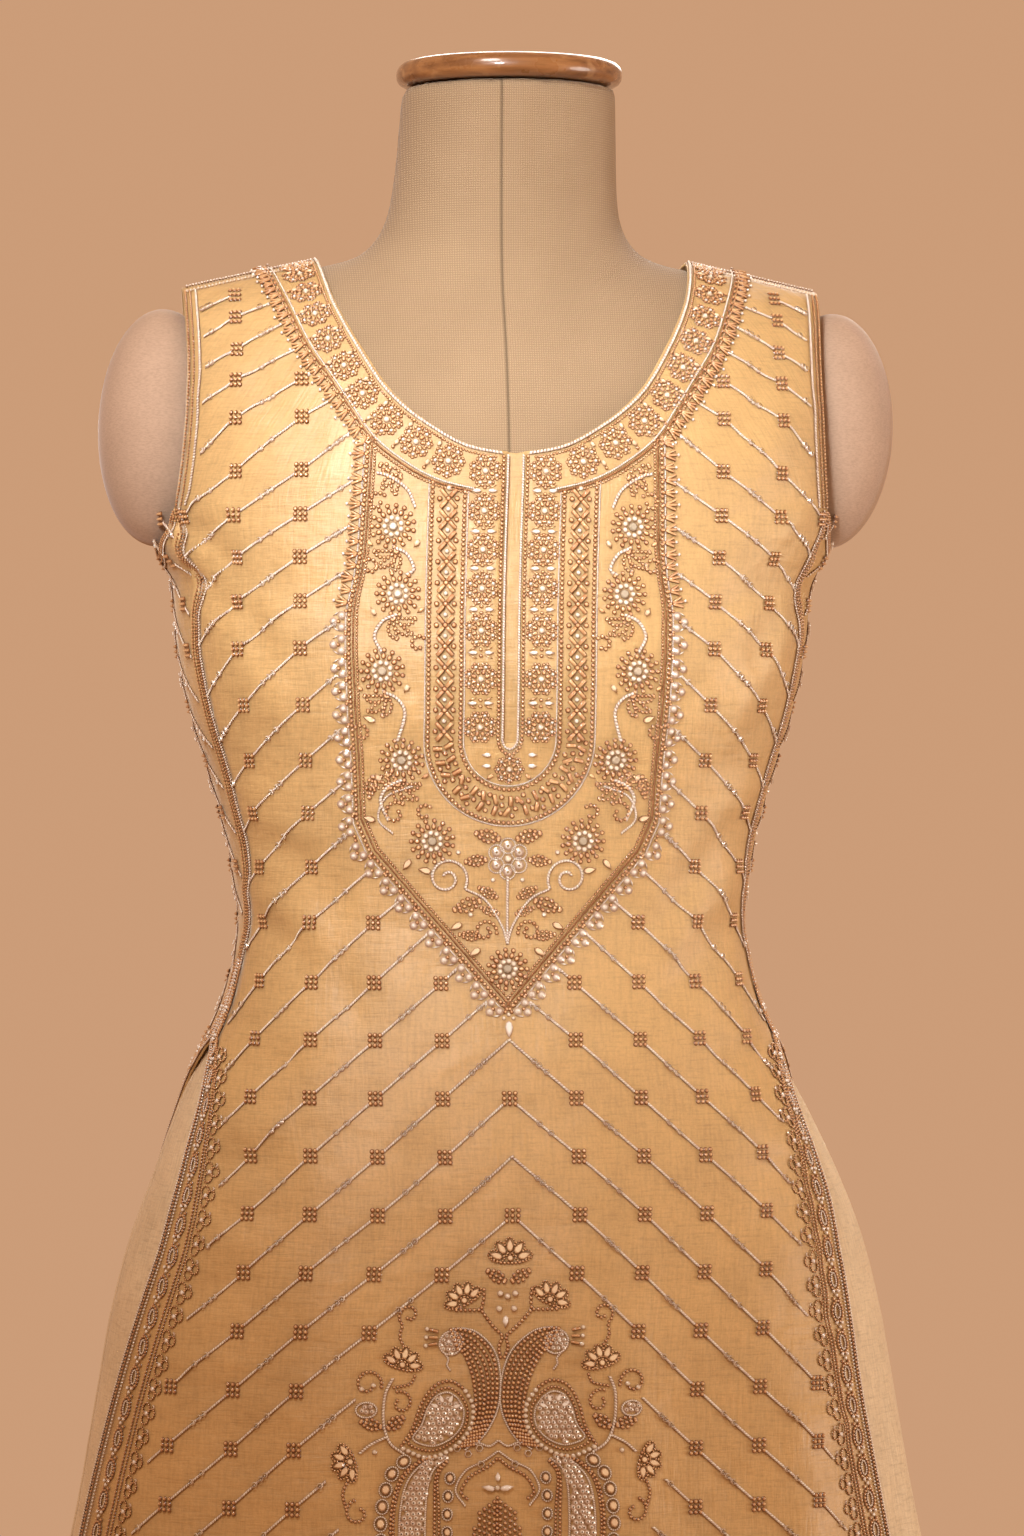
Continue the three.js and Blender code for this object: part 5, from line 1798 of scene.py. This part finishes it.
def spray(pen):
    """A stem beside the bird, with fan flowers, curls and leaves."""
    pen.rope(curve((50, 735), (58, 741), (61.7, 752), (61.5, 766), (58, 775)), 1.7)
    pen.rope(curve((60, 744), (68, 740), (74, 735)), 1.6)
    fan_flower(pen.at(53.6, 781, 0.25), 10.5)
    fan_flower(pen.at(77.5, 731, -1.9), 10.5)
    pen.beads(spiral(51.8, 808.5, 6.0, 1.6, -60, 330), 2.0)
    pen.beads(curve((55, 803), (56, 797), (53, 791)), 2.0)
    pen.beads(spiral(71, 772, 7.5, 3.0, 200, -170), 2.1)
    pen.beads(spiral(53, 762, 6.5, 2.0, 60, 420), 2.0)
    pen.beads(curve((46, 777), (49, 772), (58, 770)), 1.9)
    bead_leaf(pen.at(60, 748, 2.5), 12, 5.4)
    bead_leaf(pen.at(62, 749, 0.25), 13, 5.2)
    fill(pen, arc(71, 758, 4.6, 0, 360, 3.2), 2.8, (3.2, 3.2, 1.6))
    pen.rope(arc(71, 758, 5.4, 0, 360, 4.0), 1.2)
    pen.sew("pearl", [68, 74, 66], [771, 769, 736], 0, (3.0, 3.0, 2.8))
    pen.beads(spiral(74, 704, 7.0, 2.2, 80, -260), 2.1)
    pen.beads(curve((79, 722), (82, 714), (80, 706)), 2.1)
    bead_leaf(pen.at(72, 690, -1.3), 15, 6)


def arch_band(pen):
    """The sequined band below the birds, with stones outside and inside it."""
    outer, inner = even(BAND_OUT, 90), even(BAND_IN, 90)
    pen.beads(outer, 2.3)
    pen.beads(outer * 0.94 + inner * 0.06, 1.9)
    pen.beads(inner, 2.1)
    pen.beads(inner * 1.1 - outer * 0.1, 1.9)
    first, last = outer * 0.80 + inner * 0.20, outer * 0.22 + inner * 0.78
    pen.rope(first, 1.3)
    pen.rope(last, 1.3)
    ring_path = np.concatenate([outer * 0.76 + inner * 0.24, (outer * 0.26 + inner * 0.74)[::-1]])
    fill(pen, ring_path, 3.1, (3.8, 3.8, 1.7))
    beyond = even(((47, 734), (57, 724), (61.6, 706), (61.6, 686), (57, 658), (42, 628), (20, 608)), 60)
    for x, z, angle in zip(*pen.spaced(beyond, 9.2)):
        oval_stone(pen.at(x, z, angle))
    within = even(((25, 727), (26.5, 712), (26.5, 690), (24, 668), (17, 650), (7, 637)), 40)
    for x, z, angle in zip(*pen.spaced(within, 9.2)):
        oval_stone(pen.at(x, z, angle), 0.8)


def oval_stone(pen, scale=1.0):
    pen.sew("gem", 0, 0, 0, (5.6 * scale, 4.6 * scale, 3.0))
    pen.line("silver", arc(0, 0, 3.9 * scale, 0, 360, 3.3 * scale), 1.2, (2.2, 1.1, 1.5), 0.5)


def palm_leaf(pen):
    """Diagonal rows of beads that fall away from a middle rib."""
    for half in pen.mirrored():
        for start in np.arange(711, 640, -3.1):
            reach = 16.5 * math.sin(math.pi * min((722 - start) / 78, 1)) ** 0.5
            count = max(int(reach / 2.6), 1)
            steps = 1.6 + 2.6 * np.arange(count)
            half.dots("copper", steps, start - 0.75 * steps, 2.5)
        half.beads(curve((0, 733), (6, 728), (15, 723), (19.5, 715), (15.5, 711)), 2.1)
        half.rope(curve((0, 736.5), (8, 731), (17.5, 726), (22.4, 716), (17, 707.5)), 1.3)
        half.sew("drop", 5.0, 717, 0.2, (8.0, 3.8, 3.0))
    pen.beads(np.array([(0, 713), (0, 640)]), 2.2)
    pen.sew("pearl", 0, 717, 0, (3.4, 3.4, 3.2))
    pen.sew("drop", 0, 723, math.pi / 2, (5.4, 3.2, 2.6))


def medallion(box):
    pen = Pen(on_front, box)
    fan_flower(pen.at(0, TOP_FLOWER_Z - 1), 11.5)
    pen.sew("pearl", [-4, 4, 0, -4, 4], [819.5, 819.5, 818, 811.5, 811.5], 0, (3.6, 3.6, 3.4))
    pen.sew("drop", 0, 804.5, -math.pi / 2, (7.0, 3.6, 2.8))
    for half in pen.mirrored():
        bead_leaf(half.at(1.0, 825.5, 0.55), 13, 5.2)
        fan_flower(half.at(22.5, 815, -0.45), 10.5)
        half.beads(curve((0.6, 797), (7, 803), (13.5, 811)), 2.2)
        half.beads(curve((13.5, 811), (20, 811), (28, 811)), 2.2)
        half.beads(curve((13.5, 811), (12.6, 817), (13, 823)), 2.2)
        half.beads(curve((0.8, 797), (2.4, 791), (0.8, 785)), 2.2)
        peacock(half)
        spray(half)
        arch_band(half)
        half.sew("loop", [10, 16, 22, 9], [738, 735, 738, 729.5], 0, (4.6, 4.6, 1.8))
        half.rope(curve((0, 742), (5, 739), (12, 741), (18, 737)), 1.3)
    palm_leaf(pen)


# ---- Borders, armholes and seams -----------------------------------------------------------------


def oval_ring(pen, scale):
    """A bead ring round two silver loops."""
    pen.line("copper", arc(0, 0, 3.4 * scale, 0, 360, 5.8), 1.9, (2.1, 1.9, 2.0))
    pen.line("silver", arc(0, 0, 1.7 * scale, 0, 360, 3.8), 1.2, (2.2, 1.2, 1.6), 0.5)


def scallop(pen):
    """Three loops that stand out from the border, round a crystal."""
    for x, z, radius in ((0, 3.0, 2.5), (0, -3.0, 2.5), (4.4, 0, 2.3)):
        loop = arc(x, z, radius, 0, 360, radius * 1.15, 14)
        pen.line("copper_small", loop, 1.35, (1.9, 1.3, 1.7), 0.4)
    pen.sew("white", 1.2, 0, 0, (3.2, 3.2, 2.8))
    pen.sew("loop", [5.0, -0.5], [3.6, 0], 0, (3.0, 3.0, 1.6))


def trim(surface, box, low, high, width):
    """The beaded border, drawn in (distance in from the edge, distance along it)."""
    pen = Pen(surface, box)
    along = np.linspace(high, low, 90)
    share = width(along) / BORDER_WIDTH

    def path(d, fixed):
        return stacked(fixed + d * share, along)

    pen.rope(path(0, 1.0), 1.5, "thread")
    pen.beads(path(1.4, 1.6), 1.9)
    pen.line("white", path(4.2, 1.6), 1.9, (1.7, 1.6, 1.7))
    pen.beads(path(20.0, 1.0), 1.9)
    pen.beads(path(22.6, 1.0), 1.7)
    for k, (x, z, angle) in enumerate(zip(*pen.spaced(path(11.8, 1.6), 8.6))):
        scale = float(np.interp(z, along[::-1], share[::-1]))
        if scale < 0.3:
            continue
        local = pen.at(x, z, angle + math.pi / 2)
        if k % 2:
            local.sew("white", [0, -2.0 * scale, 2.0 * scale], [0, 2.2, 2.2], 0, (2.5, 2.5, 2.6))
            local.dots("copper", [2.4 * scale, -2.4 * scale], [-1.8, -1.8], 2.1)
        else:
            oval_ring(local, 1.15 * scale)
    for x, z, angle in zip(*pen.spaced(path(27.6, 1.0), 13.6)):
        scale = float(np.interp(z, along[::-1], share[::-1]))
        if scale > 0.45:
            scallop(pen.at(x, z, angle + math.pi / 2))


def side_surface(side, back):
    """Points at a distance in from the slit's edge, and a height."""

    def place(d, z, bare=False):
        d = np.abs(d)
        if back:
            return on_back(side * (panel_edge(z, True) - d), z, bare)
        return on_front(side * round_x(panel_edge(z) - d, z), z, bare)

    return place


def hem_surface(back):
    """Points at a height above the hem, and a distance round from the middle."""

    def place(d, u, bare=False):
        z = KURTA_HEM + 1.0 + np.abs(d)
        if back:
            return on_back(u, z, bare)
        return on_front(round_x(u, z), z, bare)

    return place


def borders(front, back):
    """The same border down both slits and along both hems."""
    def full(u):
        return np.full(np.shape(u), BORDER_WIDTH)

    panels = (front, False), (back, True)
    for side in (-1, 1):
        for box, behind in panels:
            trim(side_surface(side, behind), box, KURTA_HEM + 2, BORDER_TOP, border_width)
    for box, behind in panels:
        corner = float(panel_edge(np.array(KURTA_HEM + BORDER_WIDTH / 2), behind))
        reach = corner - BORDER_WIDTH + 2
        trim(hem_surface(behind), box, -reach, reach, full)


def armhole_path(d, back=False):
    """Along an armhole from the shoulder to the side seam, a little inside its edge."""
    z = np.linspace(TIP_Z - 3, CHEST_Z, 40)
    return stacked(read(ARMHOLE, "z", z, "back" if back else "front") - d, z)


def seam_path(d):
    """Down the side seam from the armhole, on the front."""
    z = np.linspace(CHEST_Z - 1, SEAM_LOW, 70)
    return stacked(round_x(panel_edge(z) - d, z), z)


def underarm_path(d):
    """Under the arm, along the back panel's edge, as (distance round, height)."""
    share = np.linspace(0, 1, 30)
    turn = float(read(SIDE_EDGES, "z", CHEST_Z, "inner"))
    edge = float(read(SIDE_EDGES, "z", CHEST_Z, "back"))
    degrees = turn + (edge - turn) * share
    z = CHEST_Z - UNDERARM_DROP * np.sin(np.pi * share) - d
    return stacked(ROUND.distance(degrees, z, True), z)


def flat_back(x, z, bare=False):
    """The dressed back by its x, for its armholes and neckline."""
    x, z = np.broadcast_arrays(np.asarray(x, float), np.asarray(z, float))
    y = across_oval(np.minimum(z, CHEST_Z), x, 1)[..., 1]
    return dressed(stacked(x, shoulder_round(x, y, z), z), back_height, bare)


def edges(front, back):
    """Cord and beads along armholes, seams, shoulders and the back neckline."""
    for half in Pen(on_front, front).mirrored():
        for d, size in ((1.6, 1.9), (4.0, 1.7)):
            half.beads(armhole_path(d), size)
            half.beads(seam_path(d - 0.2), size)
        half.rope(armhole_path(7.2), 1.7)
        half.rope(seam_path(6.4), 1.5)
        shoulder = np.linspace(NECK_X + 2, TIP_X - 2, 30)
        half.rope(stacked(shoulder, shoulder_height(shoulder) - 0.8), 1.8)
        half.beads(stacked(shoulder, shoulder_height(shoulder) - 4.0), 2.0, "pearl")
    for half in Pen(flat_back, back).mirrored():
        half.beads(armhole_path(1.6, True), 1.9)
        half.beads(armhole_path(4.0, True), 1.7)
        half.rope(armhole_path(7.0, True), 1.6)
        half.rope(back_neck_path(1.6), 2.0)
        half.beads(back_neck_path(4.4), 1.7)
        half.rope(back_neck_path(25.5), 2.0, "cord")
        for x, z, angle in zip(*half.spaced(back_neck_path(14.5), 19.0)):
            rosette(half.at(x, z, angle), 8.2)
    for half in Pen(on_back, back).mirrored():
        half.beads(underarm_path(2.0), 1.9)
        half.beads(underarm_path(4.4), 1.7)
        half.rope(underarm_path(7.4), 1.5)
        z = np.linspace(CHEST_Z - 3, SEAM_LOW, 70)
        half.beads(stacked(panel_edge(z, True) - 1.8, z), 1.9)


# ---- Assembly ------------------------------------------------------------------------------------


def settle(piece, slot, *nodes):
    """The body a piece rides on, its material slot (not used), and the nodes it stands in for."""
    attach(piece, "root")
    if nodes:
        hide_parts(*nodes)


def dress_form():
    canvas, jersey = canvas_look(), jersey_look()
    settle(form_torso(canvas), "form_canvas", "form_torso")
    for name, sign in (("left", -1), ("right", 1)):
        pad = arm_pad(f"arm_cap_{name}", sign, jersey)
        settle(pad, "form_jersey", f"form_arm_{name}")
    settle(neck_cap(wood_look()), "polished_wood", "form_cap")
    steel = steel_look()
    for node in ("stand_pole", "stand_base"):
        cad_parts[node].data.materials.clear()
        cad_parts[node].data.materials.append(steel)


def garment():
    silk = silk_look("embroidered_silk", (0.655, 0.43, 0.185), 0.16, 0.3)
    plain = silk_look("plain_silk", (0.84, 0.70, 0.48), 0.24, 0.25)
    front, front_area, grid, normals, slit_row, middle = kurta_front(silk)
    back, back_area = kurta_back(silk)
    settle(front, "embroidered_silk", "kurta_front")
    settle(back, "embroidered_silk", "kurta_back")
    strip = placket(grid, normals, slit_row, middle, silk)
    settle(strip, "plain_silk", "slit_placket")
    for face, side in (("front", -1), ("back", 1)):
        for name, sign in (("left", -1), ("right", 1)):
            panel, area = leg_panel(f"sharara_{face}_{name}_panel", side, sign, plain)
            settle(panel, "plain_silk", f"sharara_{face}_{name}")
    settle(waist_casing(plain), "plain_silk", "sharara_waistband")


def embroidery():
    looks = {name: bead_look(name, *values) for name, values in BEAD_LOOKS.items()}
    front, back = defaultdict(list), defaultdict(list)
    all_over(on_front_round, front_open, front, 8, 25)
    all_over(on_back, back_open, back, 14, 17)
    yoke(front)
    medallion(front)
    borders(front, back)
    edges(front, back)
    sew_all("front", front, looks)
    sew_all("back", back, looks)


def main():
    studio()
    camera()
    dress_form()
    garment()
    embroidery()


main()
